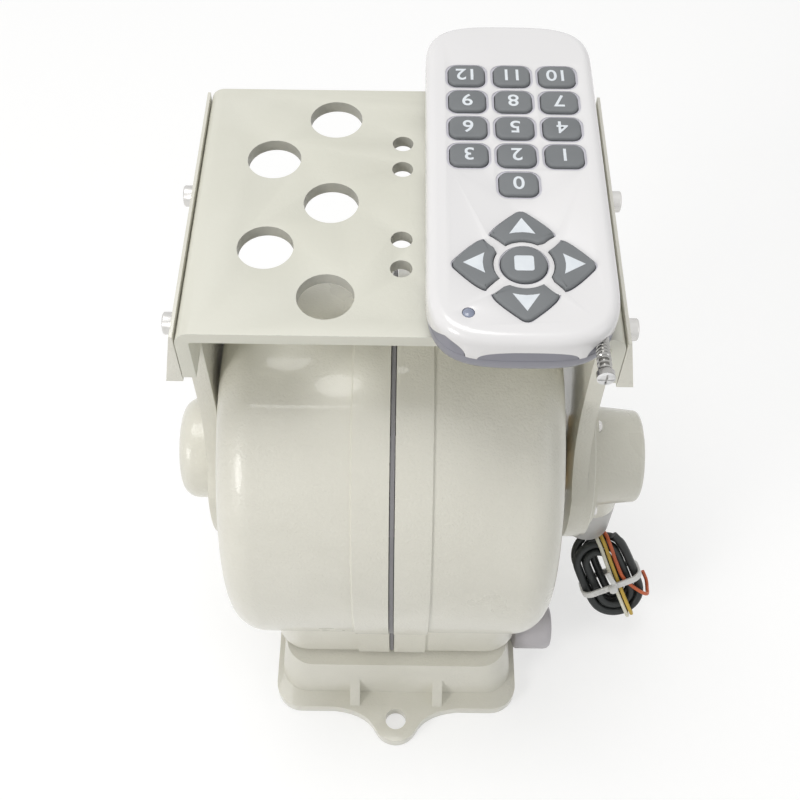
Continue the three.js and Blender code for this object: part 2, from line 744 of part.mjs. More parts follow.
// The motor shaft of the tilt pinion points left, so the pinion is mirrored
const leftwards = (solid) => solid.mirror([0, 0, 1]);
const tiltFacing = localAngle(tiltGearPhase) + Math.PI + Math.PI / pinionTeeth;
const tiltPinion = leftwards(pinion(tiltFacing)).translate([0, 0, tiltGearX + gearThickness]);
add('tilt_pinion', alongX(tiltPinion, tiltPinionY, tiltPinionZ), bronze);
const tiltMotor = leftwards(motor(tiltMotorLength)).translate([0, 0, chassisWallX]);
add('tilt_motor', alongX(tiltMotor, tiltPinionY, tiltPinionZ), steel);

// Control board, standing on the chassis plate with its larger parts on the back
const boardLow = chassisHigh + gap;
const boardRight = chassisWallX - gap;
const boardMid = boardRight - boardWidth / 2;
const boardY = boardInset - chassisDepth / 2;
let board = chamfered(boardWidth, boardThickness, boardHeight, gap, boardLow, boardMid, boardY);
const partShares = [[0.2, 0.3], [0.55, 0.25], [0.8, 0.55], [0.35, 0.7]];
for (const [across, up] of partShares) {
  board = board.add(chamfered(
    boardPartWidth, boardPartDepth, boardPartWidth, gap, boardLow + up * boardHeight - boardPartWidth / 2,
    boardMid + (across - 1 / 2) * boardWidth, boardY + boardPartDepth / 2,
  ));
}
add('control_board', board, boardGreen);

// Bushes in the shell hubs; their lips fill the space to the arms
const discLeft = drumLeft + armGapLeft;
const discRight = drumRight + armGapRight;
function bush(inner, outer, lip) {
  const bore = shaftRadius + gap;
  const body = shaftRadius + bushWall;
  return turned([
    [bore, inner], [body, inner], [body, outer + gap], [body + bushLip, outer + gap],
    [body + bushLip, lip - gap], [bore, lip - gap], [bore, inner],
  ]);
}
const bushInLeft = drumLeft - shellWall - hubLength;
const bushInRight = drumRight - shellWall - hubLength;
add('left_bush', alongX(leftwards(bush(bushInLeft, drumLeft, discLeft))), bronze);
add('right_bush', alongX(bush(bushInRight, drumRight, discRight)), bronze);

// Tilt shaft
const capFloorLeft = discLeft + armThickness + leftCapLength - capWall;
const shaftLeft = -(discLeft + armThickness + shaftTail);
const shaftRight = discRight + armThickness + rightFlangeThickness;
add('tilt_shaft', alongX(tube(shaftBore, shaftRadius, shaftLeft, shaftRight)), steel);

// Tilt bracket: platform

const plateUnder = platformTop - platformThickness;
const flangeLow = platformTop - platformFlange;
const halfWidth = platformWidth / 2;
function platformOutline() {
  const shape = new THREE.Shape();
  const inner = platformBend - platformThickness;
  const inX = halfWidth - platformThickness;
  shape.moveTo(halfWidth, flangeLow);
  shape.absarc(halfWidth - platformBend, platformTop - platformBend, platformBend, 0, Math.PI / 2);
  shape.absarc(platformBend - halfWidth, platformTop - platformBend, platformBend, Math.PI / 2, Math.PI);
  shape.lineTo(-halfWidth, flangeLow);
  shape.lineTo(-inX, flangeLow);
  shape.absarc(inner - inX, plateUnder - inner, inner, Math.PI, Math.PI / 2, true);
  shape.absarc(inX - inner, plateUnder - inner, inner, Math.PI / 2, 0, true);
  shape.lineTo(inX, flangeLow);
  return shape;
}
const platformFront = platformBack - platformDepth / 2;
const platformRear = platformBack + platformDepth / 2;
const upright = new THREE.Matrix4().makeBasis(
  new THREE.Vector3(1, 0, 0), new THREE.Vector3(0, 0, 1), new THREE.Vector3(0, -1, 0),
);
const screwPlaces = [
  [platformFront + screwFrontInset, platformTop - screwDrop],
  [platformRear - screwRearInset, platformTop - screwDrop],
];
const screwBore = (y, z) => alongX(rod(screwShankRadius + gap, -reach, reach, roundSteps / 2), y, z);
let platform = plate(platformOutline(), platformDepth, -platformRear, innerSteps)
  .transform(upright.elements);
const punch = (diameter, x, y) => rod(
  diameter / 2, plateUnder - overrun, platformTop + overrun, diameter < largeHole ? holeSteps / 2 : holeSteps,
).translate([x, platformBack + y, 0]);
for (const side of [-1, 1]) {
  for (const y of [-largePitch, 0, largePitch]) {
    platform = platform.subtract(punch(largeHole, side * largeInnerX, y));
  }
  for (const y of [-largePitch / 2, largePitch / 2]) {
    platform = platform.subtract(punch(largeHole, side * largeOuterX, y));
  }
  for (const y of [smallInnerY, smallOuterY]) {
    platform = platform.subtract(punch(smallHole, 0, side * y));
  }
}
for (const [y, z] of screwPlaces) platform = platform.subtract(screwBore(y, z));
add('platform', platform, paintPale);

// Arms: a disc on the tilt axis, a waisted web and a tapered head outside the flange

const webTop = flangeLow - flangeGap;
const shoulderLow = webTop - shoulderHeight;
const headTop = platformTop - headTopInset;
function webOutline() {
  const shape = new THREE.Shape();
  const angle = Math.PI / 7;
  const waist = tiltHeight + waistHeight;
  const side = discRadius * Math.cos(angle);
  const up = tiltHeight + discRadius * Math.sin(angle);
  shape.moveTo(side, up);
  shape.quadraticCurveTo(waistRear - shoulderInset, (up + waist) / 2, waistRear, waist);
  shape.quadraticCurveTo(waistRear, shoulderLow, platformRear - shoulderHeight, webTop);
  shape.lineTo(shoulderInset - waistFront, webTop);
  shape.quadraticCurveTo(-waistFront, webTop, -waistFront, shoulderLow);
  shape.lineTo(-waistFront, waist);
  shape.quadraticCurveTo(-waistFront, up + shoulderHeight, -side, up);
  const sweep = (Math.PI + 2 * angle) / cornerSteps;
  for (let i = 0; i < cornerSteps; i += 1) {
    const from = Math.PI - angle + i * sweep;
    shape.absarc(0, tiltHeight, discRadius, from, from + sweep);
  }
  return shape;
}
function headRing(z, proud) {
  const inner = halfWidth + gap;
  const outer = halfWidth + proud;
  const corner = Math.min(headCorner, outer - inner) / 2;
  return roundedRing(outer - inner, platformDepth, corner, z, (inner + outer) / 2, platformBack);
}
function arm(disc) {
  const web = sidePlate(webOutline(), armThickness, disc, earSteps);
  const shoulder = new THREE.Shape();
  shoulder.moveTo(shoulderInset - waistFront, webTop);
  shoulder.lineTo(-waistFront, webTop - shoulderInset);
  shoulder.lineTo(-waistFront, shoulderLow);
  shoulder.lineTo(waistRear, shoulderLow);
  shoulder.lineTo(platformRear - shoulderHeight, webTop - shoulderHeight / 2);
  shoulder.lineTo(platformRear - shoulderHeight, webTop);
  const step = sidePlate(shoulder, halfWidth + headLowProud - disc - gap, disc);
  const head = toSolid(loft([
    headRing(webTop - headCorner, headLowProud), headRing(headTop - headChamfer, headTopProud),
    headRing(headTop, headTopProud - headChamfer),
  ]));
  let body = joined(web, step, head);
  body = body.subtract(alongX(rod(shaftRadius + gap, disc - overrun, disc + armThickness + overrun)));
  for (const [y, z] of screwPlaces) {
    const seat = alongX(rod(screwSeatRadius, screwSeat, reach), y, z);
    body = without(body, screwBore(y, z), seat);
  }
  return body;
}
const screwSeat = halfWidth + headTopProud + gap;
const mirrored = (solid) => solid.mirror([1, 0, 0]);
add('left_arm', mirrored(arm(discLeft)), paint);
add('right_arm', arm(discRight), paint);

// Socket cap screws through the arm heads into the platform flanges
const screwFrom = halfWidth - platformThickness;
const capScrew = without(
  turned([
    [0, screwFrom], [screwShankRadius, screwFrom], [screwShankRadius, screwSeat + gap],
    [screwHeadRadius, screwSeat + gap], [screwHeadRadius, screwSeat + screwHeadHeight],
    [screwHeadRadius - gap, screwSeat + gap + screwHeadHeight], [0, screwSeat + gap + screwHeadHeight],
  ], roundSteps / 2),
  rod(screwSocket, screwSeat + gap + screwHeadHeight - screwSocketDepth, reach, 6),
);
for (const [label, side] of [['left', -1], ['right', 1]]) {
  screwPlaces.forEach(([y, z], i) => {
    const one = alongX(capScrew, y, z);
    add(`${label}_screw_${i + 1}`, side < 0 ? mirrored(one) : one, steel);
  });
}

// Left cap: a round lid with a domed edge over the end of the shaft
const capFaceLeft = discLeft + armThickness + gap;
const capEndLeft = discLeft + armThickness + leftCapLength;
function domedProfile(radius, low, high, edge) {
  const points = [[radius, low]];
  for (let i = 0; i <= cornerSteps; i += 1) {
    const angle = Math.PI / 2 * i / cornerSteps;
    points.push([radius - edge * (1 - Math.cos(angle)), high - edge * (1 - Math.sin(angle))]);
  }
  return points;
}
const leftCap = turned([
  [capBoreRadius, capFaceLeft], ...domedProfile(leftCapRadius, capFaceLeft, capEndLeft, leftCapEdge),
  [0, capEndLeft], [0, capFloorLeft], [capBoreRadius, capFloorLeft], [capBoreRadius, capFaceLeft],
]);
add('left_cap', alongX(leftwards(leftCap)), paint);

// Right cap: a stepped flange, a tapered housing and the cable outlet boss below
const faceRight = discRight + armThickness + gap;
const stepRight = faceRight + rightFlangeThickness - rightFlangeStep;
const flangeFace = faceRight + rightFlangeThickness;
const housingEnd = flangeFace + housingLength;
const housing = turned([
  [0, stepRight], [rightFlangeRadius, faceRight],
  [rightFlangeRadius, stepRight], [rightStepRadius, flangeFace], [housingRadius, flangeFace],
  ...domedProfile(housingTip, flangeFace + housingEdge, housingEnd, housingEdge).slice(1), [0, housingEnd],
]);
const hollow = rod(housingTip - capWall, faceRight - overrun, housingEnd - capWall);
const boss = rod(outletRadius, outletSeam + gap, tiltHeight).translate([outletX, 0, 0])
  .intersect(halfSpace(faceRight, reach));
const outletBore = rod(outletRadius - capWall, outletSeam - overrun, tiltHeight).translate([outletX, 0, 0]);
const capHeight = tiltHeight - capDrop;
const rightCap = without(
  alongX(housing, 0, capHeight).add(boss), alongX(hollow, 0, capHeight), outletBore,
);
add('right_cap', rightCap, paint);

// Cable outlet: a grey collar with a lip inside the boss and a recess below
const collar = without(
  turned([
    [0, outletLow], [outletRadius - bossRoundover, outletLow], [outletRadius, outletLow + bossRoundover],
    [outletRadius, outletSeam], [outletRadius - capWall - gap, outletSeam],
    [outletRadius - capWall - gap, outletSeam + glandLip], [0, outletSeam + glandLip],
  ]),
  rod(outletRadius - glandWall, outletLow - overrun, outletLow + glandRecess),
);
add('cable_outlet', collar.translate([outletX, 0, 0]), greyMetal);

// Cables. The hank's frame: aim points along its length, across lies in the
// plane of one loop and stack is the way its loops pile up.
const across = new THREE.Vector3(1, 0, 0).addScaledVector(hankAim, -hankAim.x).normalize();
const stack = new THREE.Vector3().crossVectors(hankAim, across);
const hankPoint = (along, side, deep) => hankCentre.clone()
  .addScaledVector(hankAim, along).addScaledVector(across, side).addScaledVector(stack, deep);

// The loops: straight runs joined by half circles. They nest inwards in the rear
// layer, come forward on the innermost one and nest outwards in the front layer.
function hankRoute() {
  const points = [];
  const folds = hankNest.map((nest) => hankFold + nest * hankSpacing);
  const middle = folds.indexOf(hankFold);
  const half = hankRun / 2;
  const arc = (along, side, radius, from, to, deep) => {
    for (let i = 0; i <= hankSteps; i += 1) {
      const angle = from + (to - from) * i / hankSteps;
      points.push(hankPoint(along + radius * Math.sin(angle), side - radius * Math.cos(angle), deep));
    }
  };
  const rear = -hankLayers / 2;
  arc(-half, hankSpacing / 2, folds[0] + hankSpacing / 2, -leadTurn, 0, rear);
  folds.forEach((fold, i) => {
    const next = folds[i + 1];
    arc(half, 0, fold, 0, Math.PI, i > middle ? -rear : rear);
    if (next === undefined) return;
    const top = (fold + next) / 2;
    arc(-half, (fold - next) / 2, top, Math.PI, 2 * Math.PI, i < middle ? rear : -rear);
  });
  return points;
}

function cable(points, diameter, steps, sides) {
  const curve = new THREE.CatmullRomCurve3(points, false, 'centripetal');
  const section = new THREE.Shape();
  for (let i = 0; i < sides; i += 1) {
    const angle = 2 * Math.PI * i / sides;
    const [x, y] = [diameter / 2 * Math.cos(angle), diameter / 2 * Math.sin(angle)];
    if (i === 0) section.moveTo(x, y);
    else section.lineTo(x, y);
  }
  return toSolid(new THREE.ExtrudeGeometry(section, { steps, extrudePath: curve, bevelEnabled: false }));
}

// The black cable starts inside the outlet and ends behind the hank
const cableStart = outletLow + glandRecess - gap;
const blackLead = [[94.6, 2.5, cableStart], [94.6, 2.6, 62]];
const blackTail = [[-12, 12.7, 2.3], [-16.5, 12, 2.1], [-21, 10.4, 1.6]];
const atPoints = (list) => list.map((place) => new THREE.Vector3(...place));
const blackPoints = [
  ...atPoints(blackLead), ...hankRoute(), ...blackTail.map((place) => hankPoint(...place)),
];
add('black_cable', cable(blackPoints, blackDiameter, blackSteps, blackSides), blackRubber);

// Least gap of the cable to itself, between points more than a fold apart along it
function leastGap(points, diameter) {
  const curve = new THREE.CatmullRomCurve3(points, false, 'centripetal');
  const samples = curve.getPoints(points.length * 2);
  const run = [0];
  const apart = 2 * (hankFold + diameter);
  for (let i = 1; i < samples.length; i += 1) {
    run.push(run[i - 1] + samples[i].distanceTo(samples[i - 1]));
  }
  let least = Infinity;
  for (let i = 0; i < samples.length; i += 1) {
    for (let j = i + 1; j < samples.length; j += 1) {
      if (run[j] - run[i] > apart) least = Math.min(least, samples[i].distanceTo(samples[j]));
    }
  }
  return [least - diameter, run[run.length - 1]];
}
const [hankGap, cableLength] = leastGap(blackPoints, blackDiameter);
console.log(`black_cable: least gap to itself ${hankGap.toFixed(2)} mm, length ${cableLength.toFixed(0)} mm`);
if (hankGap < gap) throw new Error('the loops of the cable touch');

// Three thin leads run down the front of the hank. Two fold round its lower end
// and the third loops out past its right edge; all end bare behind it. Each is
// two points at the outlet, then points in the hank's frame: along, side, deep.
const whiteExit = [[100.4, -6.6, cableStart], [100.4, -6.8, 63]];
const whiteRun = [
  [-23.4, 2.3, 5], [-20, 2.4, 5.9], [-8, 1.7, 5.9], [6, 1.1, 5.9], [21.6, 0.9, 6],
  [25.2, 0.9, 5.1], [26.3, 0.9, 2.6], [26.3, 0.9, -2.6], [25.2, 0.9, -5.1], [21.6, 0.9, -6.2],
  [13, 0.9, -6.3], [6, 0.9, -6.3],
];
const yellowExit = [[102.3, -5.2, cableStart], [102.3, -5.4, 63]];
const yellowRun = [
  [-23.4, 4.7, 4.8], [-20, 4.8, 5.9], [-8, 4.1, 5.9], [6, 3.5, 5.9], [21.2, 3.3, 6],
  [24.8, 3.3, 5.1], [25.9, 3.3, 2.6], [25.9, 3.3, -2.6], [24.8, 3.3, -5.1], [21.2, 3.3, -6.2],
  [10, 3.3, -6.3], [1, 3.3, -6.3],
];
const orangeExit = [[100.2, -1.4, cableStart], [100.2, -1.6, 63]];
const orangeRun = [
  [-24.6, 6.9, 2.4], [-20.2, 7.3, 5.9], [-8, 6.6, 5.9], [2, 6.8, 5.9], [8, 9, 5.9], [13.4, 12, 5.9],
  [16.8, 14, 4.6], [18.6, 15, 2], [18.2, 15.6, -1], [14, 16.9, -2.4], [8, 17, -2.6],
];
const wire = (exit, run) => cable(
  [...atPoints(exit), ...run.map((place) => hankPoint(...place))], wireDiameter, wireSteps, wireSides,
);
add('white_wire', wire(whiteExit, whiteRun), whitePlastic);
add('yellow_wire', wire(yellowExit, yellowRun), yellowPlastic);
add('orange_wire', wire(orangeExit, orangeRun), orangePlastic);

// The tie goes round the loops and the leads, with its head in front
const widestFold = hankFold + Math.max(...hankNest) * hankSpacing;
const tieAcross = 2 * (widestFold + gap) + blackDiameter;
const tieRing = (grow, low, high) => block(
  tieAcross + 2 * grow, tieFront + tieBack + 2 * grow, high - low, tieCorner + grow, low,
  0, (tieFront - tieBack) / 2,
);
const tieBand = tieRing(tieThickness, -tieWidth / 2, tieWidth / 2).subtract(tieRing(0, -tieWidth, tieWidth));
const tieBlock = chamfered(
  tieHead, tieHead, tieHead, gap, -tieHead / 2, -tieHead / 2, tieFront + tieThickness / 2 + tieHead / 2,
);
const hankBasis = new THREE.Matrix4().makeBasis(across, stack, hankAim).setPosition(hankCentre);
const tie = tieBand.add(tieBlock).translate([0, 0, tieAlong]);
add('zip_tie', tie.transform(hankBasis.elements), whitePlastic);

// Handset, resting on the right half of the platform

const setWidth = setRight - setLeft;
const setLength = setBack - setFront;
const setX = (setLeft + setRight) / 2;
const setY = (setFront + setBack) / 2;
const setLow = platformTop + gap;
const lowerTop = setLow + lowerHeight;
const upperLow = lowerTop + gap;
const upperTop = upperLow + upperHeight;
const boardTop = upperTop - boardDrop;
const setRing = (inset, z) => roundedRing(
  setWidth - 2 * inset, setLength - 2 * inset, setCorner - inset, z, setX, setY,
);
const postPlaces = [];
for (const sx of [-1, 1]) {
  for (const sy of [-1, 1]) {
    postPlaces.push([
      setX + sx * (setWidth / 2 - setBoardInset - setPostRadius - setWall),
      setY + sy * (setLength / 2 - setBoardInset - setPostRadius - setWall),
    ]);
  }
}
let lowerShell = toSolid(loft([
  setRing(setBottomInset, setLow), setRing(0, setLow + setBottomInset), setRing(0, lowerTop),
]));
lowerShell = lowerShell.subtract(toSolid(loft([
  setRing(setWall + setBottomInset, setLow + setWall), setRing(setWall, setLow + setWall + setBottomInset),
  setRing(setWall, lowerTop + overrun),
])));
for (const [x, y] of postPlaces) {
  const low = setLow + setWall - gap;
  lowerShell = lowerShell.add(
    rod(setPostRadius, low, boardTop - setBoardThickness - gap, roundSteps / 2).translate([x, y, 0]),
  );
}
add('handset_base', lowerShell, greyPlastic);

add('handset_board', block(
  setWidth - 2 * setBoardInset, setLength - 2 * setBoardInset, setBoardThickness, setPostRadius,
  boardTop - setBoardThickness, setX, setY,
), boardGreen);

// Outlines of the keys, each grown by the same amount all round for its opening and lip
const numberKey = (grow) => roundedShape(keyWidth + 2 * grow, keyDepth + 2 * grow, keyCorner + grow);
function roundKey(grow) {
  const shape = new THREE.Shape();
  for (let i = 0; i < 2 * cornerSteps; i += 1) {
    const angle = i * Math.PI / cornerSteps;
    shape.absarc(0, 0, centreKeyRadius + grow, angle, angle + Math.PI / cornerSteps);
  }
  return shape;
}
function arrowKey(grow) {
  const shape = new THREE.Shape();
  const inner = arrowInner - Math.min(grow, gap);
  const angle = arrowInnerAngle;
  const half = arrowHalf + grow;
  const tip = arrowTip + grow;
  shape.moveTo(inner * Math.sin(angle), inner * Math.cos(angle));
  shape.quadraticCurveTo(half - arrowHeel, arrowInner + 2 * arrowHeel, half, arrowShoulder);
  shape.quadraticCurveTo(half, arrowShoulder + arrowTipRound, arrowTipRound, tip - arrowTipRound / 2);
  shape.quadraticCurveTo(0, tip + arrowTipRound / 2, -arrowTipRound, tip - arrowTipRound / 2);
  shape.quadraticCurveTo(-half, arrowShoulder + arrowTipRound, -half, arrowShoulder);
  shape.quadraticCurveTo(
    arrowHeel - half, arrowInner + 2 * arrowHeel, -inner * Math.sin(angle), inner * Math.cos(angle),
  );
  for (let i = 0; i < cornerSteps; i += 1) {
    const from = Math.PI / 2 + angle - i * 2 * angle / cornerSteps;
    shape.absarc(0, 0, inner, from, from - 2 * angle / cornerSteps, true);
  }
  return shape;
}
const keys = [];
const numberRows = [[3, 2, 1], [6, 5, 4], [9, 8, 7], [12, 11, 10]];
numberRows.forEach((row, up) => row.forEach((number, i) => {
  const x = padCentreX + (i - 1) * keyPitchX;
  keys.push({ name: `key_${number}`, x, y: keyRowOneY + up * keyPitchY, turn: 0, outline: numberKey });
}));
keys.push({ name: 'key_0', x: padCentreX, y: keyRowOneY - keyPitchY, turn: 0, outline: numberKey });
keys.push({ name: 'key_stop', x: padCentreX, y: padCentreY, turn: 0, outline: roundKey });
['key_far', 'key_left', 'key_near', 'key_right'].forEach((name, i) => {
  keys.push({ name, x: padCentreX, y: padCentreY, turn: i * Math.PI / 2 * degrees, outline: arrowKey });
});
const keySolid = (key, grow, low, high) => plate(key.outline(grow), high - low, low)
  .rotate([0, 0, key.turn]).translate([key.x, key.y, 0]);

const mastZ = upperLow + socketRadius;
const socketFront = setFront + setTopInset - socketProud / 2;
let upperShell = toSolid(loft([
  setRing(0, upperLow), setRing(0, upperTop - setTopRound),
  setRing(setTopInset / 4, upperTop - setTopRound / 4),
  setRing(setTopInset, upperTop),
]));
upperShell = without(
  upperShell,
  toSolid(loft([setRing(setWall, upperLow - overrun), setRing(setWall, upperTop - setWall)])),
  alongY(rod(socketRadius + gap, setFront - overrun, setFront + setCorner), mastX, mastZ),
  rod(ledRadius + gap, upperLow, upperTop + overrun, roundSteps / 2).translate([ledX, ledY, 0]),
);
for (const key of keys) {
  upperShell = upperShell.subtract(keySolid(key, gap, upperLow, upperTop + overrun));
}
add('handset_top', upperShell, whitePlastic);

for (const key of keys) {
  const cap = keySolid(key, 0, boardTop + keyTravel + gap, upperTop + keyProud);
  const lipTop = upperTop - setWall - gap;
  add(key.name, cap.add(keySolid(key, keyLip, lipTop - keyLipHeight, lipTop)), keyGrey);
}

add('handset_led', rod(ledRadius, boardTop + gap, upperTop + gap, roundSteps / 2)
  .translate([ledX, ledY, 0]), greyPlastic);

// Antenna: a short socket in the near right corner and one sliding mast
add('antenna_socket', alongY(
  tube(mastRadius + gap, socketRadius, socketFront, socketFront + socketLength, roundSteps / 2), mastX, mastZ,
), steel);
const mastEnd = socketFront - mastOutside;
const mast = turned([
  [0, mastEnd], [mastTipRadius - gap, mastEnd], [mastTipRadius, mastEnd + gap],
  [mastTipRadius, mastEnd + mastTipLength],
  [mastRadius, mastEnd + mastTipLength], [mastRadius, socketFront + mastInside],
  [0, socketFront + mastInside],
], roundSteps / 2);
add('antenna_mast', alongY(mast, mastX, mastZ), steel);

export default group;
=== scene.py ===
# %% [markdown]
# # A remote-controlled pan and tilt head
# The real object is a motorised mount: a cast foot, a drum that pans on it, two arms that tilt
# with a drilled platform, and a hand-held remote lying on that platform. The solids were made
# beforehand and are loaded as a fixed frame, so every value below is a place in that frame.
# The plan is to load it, aim the camera, lay the cables, mix the finishes, and then dress one
# piece after another.

# %% Load the frame and keep its size
import json
import math

import bmesh
import bpy
from mathutils import Matrix, Vector


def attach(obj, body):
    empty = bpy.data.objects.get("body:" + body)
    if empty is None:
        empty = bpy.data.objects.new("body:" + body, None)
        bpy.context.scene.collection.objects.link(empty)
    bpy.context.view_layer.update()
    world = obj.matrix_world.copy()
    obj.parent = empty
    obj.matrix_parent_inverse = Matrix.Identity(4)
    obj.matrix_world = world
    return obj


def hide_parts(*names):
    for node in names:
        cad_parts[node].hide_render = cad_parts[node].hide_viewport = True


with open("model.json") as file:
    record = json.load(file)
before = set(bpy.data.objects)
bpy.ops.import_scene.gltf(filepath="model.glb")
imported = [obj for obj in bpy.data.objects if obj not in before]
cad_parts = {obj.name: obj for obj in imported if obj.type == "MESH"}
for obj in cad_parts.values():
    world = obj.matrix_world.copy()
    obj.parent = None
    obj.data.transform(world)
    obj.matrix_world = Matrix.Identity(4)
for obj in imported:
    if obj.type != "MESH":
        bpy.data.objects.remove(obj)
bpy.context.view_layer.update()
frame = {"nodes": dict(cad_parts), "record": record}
mm = 0.001

# %% [markdown]
# The camera stands in front of the head and well above it, looking down at about 56 degrees.
# It could be aimed by eye, but the platform's edges and its holes, taken as round and evenly
# spaced, give its place more closely. Its turn is written as three directions, which avoids
# guessing at Euler angles.

# %% Camera
camera_place = Vector((0.77, -269.8, 565.5)) * mm
look_down, yaw, roll = (math.radians(a) for a in (55.919, 0.134, 0.672))
focal_pixels, frame_pixels, sensor = 1108.69, 800, 36
forward = Vector((0, math.cos(look_down), -math.sin(look_down)))
right = Vector((1, 0, 0))
up = right.cross(forward)
turn = Matrix.Rotation(yaw, 3, "Z")
forward, right, up = turn @ forward, turn @ right, turn @ up
side = math.cos(roll) * right + math.sin(roll) * up
top = math.cos(roll) * up - math.sin(roll) * right
camera_data = bpy.data.cameras.new("camera")
camera_data.lens = sensor * focal_pixels / frame_pixels
camera_data.sensor_width = sensor
camera_data.shift_y = 5.8 / frame_pixels
camera_data.clip_start, camera_data.clip_end = 0.01, 20
camera = bpy.data.objects.new("camera", camera_data)
camera.matrix_world = Matrix.Translation(camera_place) @ Matrix((side, top, -forward)).transposed().to_4x4()
bpy.context.scene.collection.objects.link(camera)
bpy.context.scene.camera = camera
print("lens", round(camera_data.lens, 2), "mm")

# %% [markdown]
# Cables come first, because they have a fixed length that has to lie where the frame has them.
# The black one is folded into a small hank of five nested loops below the outlet on the right, and
# three thin leads run down its front with bare ends. A curve with a round bevel is the right
# tool: it keeps an even thickness through every bend.

# %% Route helpers: a smooth line through points, and the hank's own directions
hank_centre = Vector((109, -17.5, 40.3))
hank_aim = Vector((23, -27, -42)).normalized()
hank_across = (Vector((1, 0, 0)) - hank_aim.x * hank_aim).normalized()
hank_stack = hank_aim.cross(hank_across)
hank_folds, hank_run, nest_gap, layer_gap = (12.8, 8.2, 3.6, 8.2, 12.8), 20, 4.6, 4.8


def hank_point(along, sideways, deep):
    return hank_centre + along * hank_aim + sideways * hank_across + deep * hank_stack


def hank_route():
    """Straight runs joined by half circles, inwards in the rear layer and outwards in front."""
    points, half, rear = [], hank_run / 2, -layer_gap / 2

    def turn_round(along, sideways, radius, start, end, deep):
        for i in range(9):
            a = start + (end - start) * i / 8
            points.append(hank_point(along + radius * math.sin(a), sideways - radius * math.cos(a), deep))

    turn_round(-half, nest_gap / 2, hank_folds[0] + nest_gap / 2, -0.34 * math.pi, 0, rear)
    for i, fold in enumerate(hank_folds):
        turn_round(half, 0, fold, 0, math.pi, -rear if i > 2 else rear)
        if i < 4:
            after = hank_folds[i + 1]
            turn_round(-half, (fold - after) / 2, (fold + after) / 2, math.pi, 2 * math.pi,
                       rear if i < 2 else -rear)
    return points + [hank_point(*p) for p in ((-12, 12.7, 2.3), (-16.5, 12, 2.1), (-21, 10.4, 1.6))]


def smooth_line(points, per_span):
    """Centripetal Catmull-Rom points, the same line that the solids follow."""
    ends = [2 * points[0] - points[1], *points, 2 * points[-1] - points[-2]]
    line = []
    for p0, p1, p2, p3 in zip(ends, ends[1:], ends[2:], ends[3:]):
        d0, d1, d2 = (max((b - a).length, 1e-6) ** 0.5 for a, b in ((p0, p1), (p1, p2), (p2, p3)))
        t1 = ((p1 - p0) / d0 - (p2 - p0) / (d0 + d1) + (p2 - p1) / d1) * d1
        t2 = ((p2 - p1) / d1 - (p3 - p1) / (d1 + d2) + (p3 - p2) / d2) * d1
        for i in range(per_span):
            t = i / per_span
            line.append(
                (2 * t**3 - 3 * t**2 + 1) * p1 + (t**3 - 2 * t**2 + t) * t1
                + (3 * t**2 - 2 * t**3) * p2 + (t**3 - t**2) * t2
            )
    return line + [points[-1]]


# %% The four cables as curves
cable_start = 67.6


def round_the_end(reach, sideways):
    """The bend by which a lead passes from the front of the hank to its back."""
    turn_points = ((4.7, 6), (1.1, 5.1), (0, 2.6), (0, -2.6), (1.1, -5.1), (4.7, -6.2))
    return [(reach - short, sideways, deep) for short, deep in turn_points]


white_places = [(-23.4, 2.3, 5), (-20, 2.4, 5.9), (-8, 1.7, 5.9), (6, 1.1, 5.9),
                *round_the_end(26.3, 0.9), (13, 0.9, -6.3), (6, 0.9, -6.3)]
yellow_places = [(-23.4, 4.7, 4.8), (-20, 4.8, 5.9), (-8, 4.1, 5.9), (6, 3.5, 5.9),
                 *round_the_end(25.9, 3.3), (10, 3.3, -6.3), (1, 3.3, -6.3)]
orange_places = [
    (-24.6, 6.9, 2.4), (-20.2, 7.3, 5.9), (-8, 6.6, 5.9), (2, 6.8, 5.9), (8, 9, 5.9), (13.4, 12, 5.9),
    (16.8, 14, 4.6), (18.6, 15, 2), (18.2, 15.6, -1), (14, 16.9, -2.4), (8, 17, -2.6),
]
cable_plan = {
    "black_cable": (4.2, 4, "medium", [(94.6, 2.5, cable_start), (94.6, 2.6, 62)], None),
    "white_wire": (1.9, 8, "limp", [(100.4, -6.6, cable_start), (100.4, -6.8, 63)], white_places),
    "yellow_wire": (1.9, 8, "limp", [(102.3, -5.2, cable_start), (102.3, -5.4, 63)], yellow_places),
    "orange_wire": (1.9, 8, "limp", [(100.2, -1.4, cable_start), (100.2, -1.6, 63)], orange_places),
}
cables = {}
for name, (diameter, per_span, stiffness, exit_places, places) in cable_plan.items():
    points = [Vector(p) for p in exit_places]
    points += hank_route() if places is None else [hank_point(*p) for p in places]
    line = [p * mm for p in smooth_line(points, per_span)]
    curve = bpy.data.curves.new(name + "_run", "CURVE")
    curve.dimensions = "3D"
    curve.bevel_depth = 1  # the radius of each point gives the thickness, and so a true box
    curve.bevel_resolution = 3
    curve.use_fill_caps = True
    spline = curve.splines.new("POLY")
    spline.points.add(len(line) - 1)
    for point, place in zip(spline.points, line):
        point.co = (*place, 1)
        point.radius = diameter * mm / 2
    spline.use_smooth = True
    cable = bpy.data.objects.new(name + "_run", curve)
    bpy.context.scene.collection.objects.link(cable)
    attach(cable, "bracket")
    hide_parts(name)
    cables[name] = cable

# %% [markdown]
# A finish on this object is never one flat colour. The castings carry thick paint with an
# orange-peel skin and faint blotches, the moulded parts have a fine grain, and metal has streaks.
# Each effect is a node group, built once and placed in every material with its own values.

# %% Node helpers and the shared groups


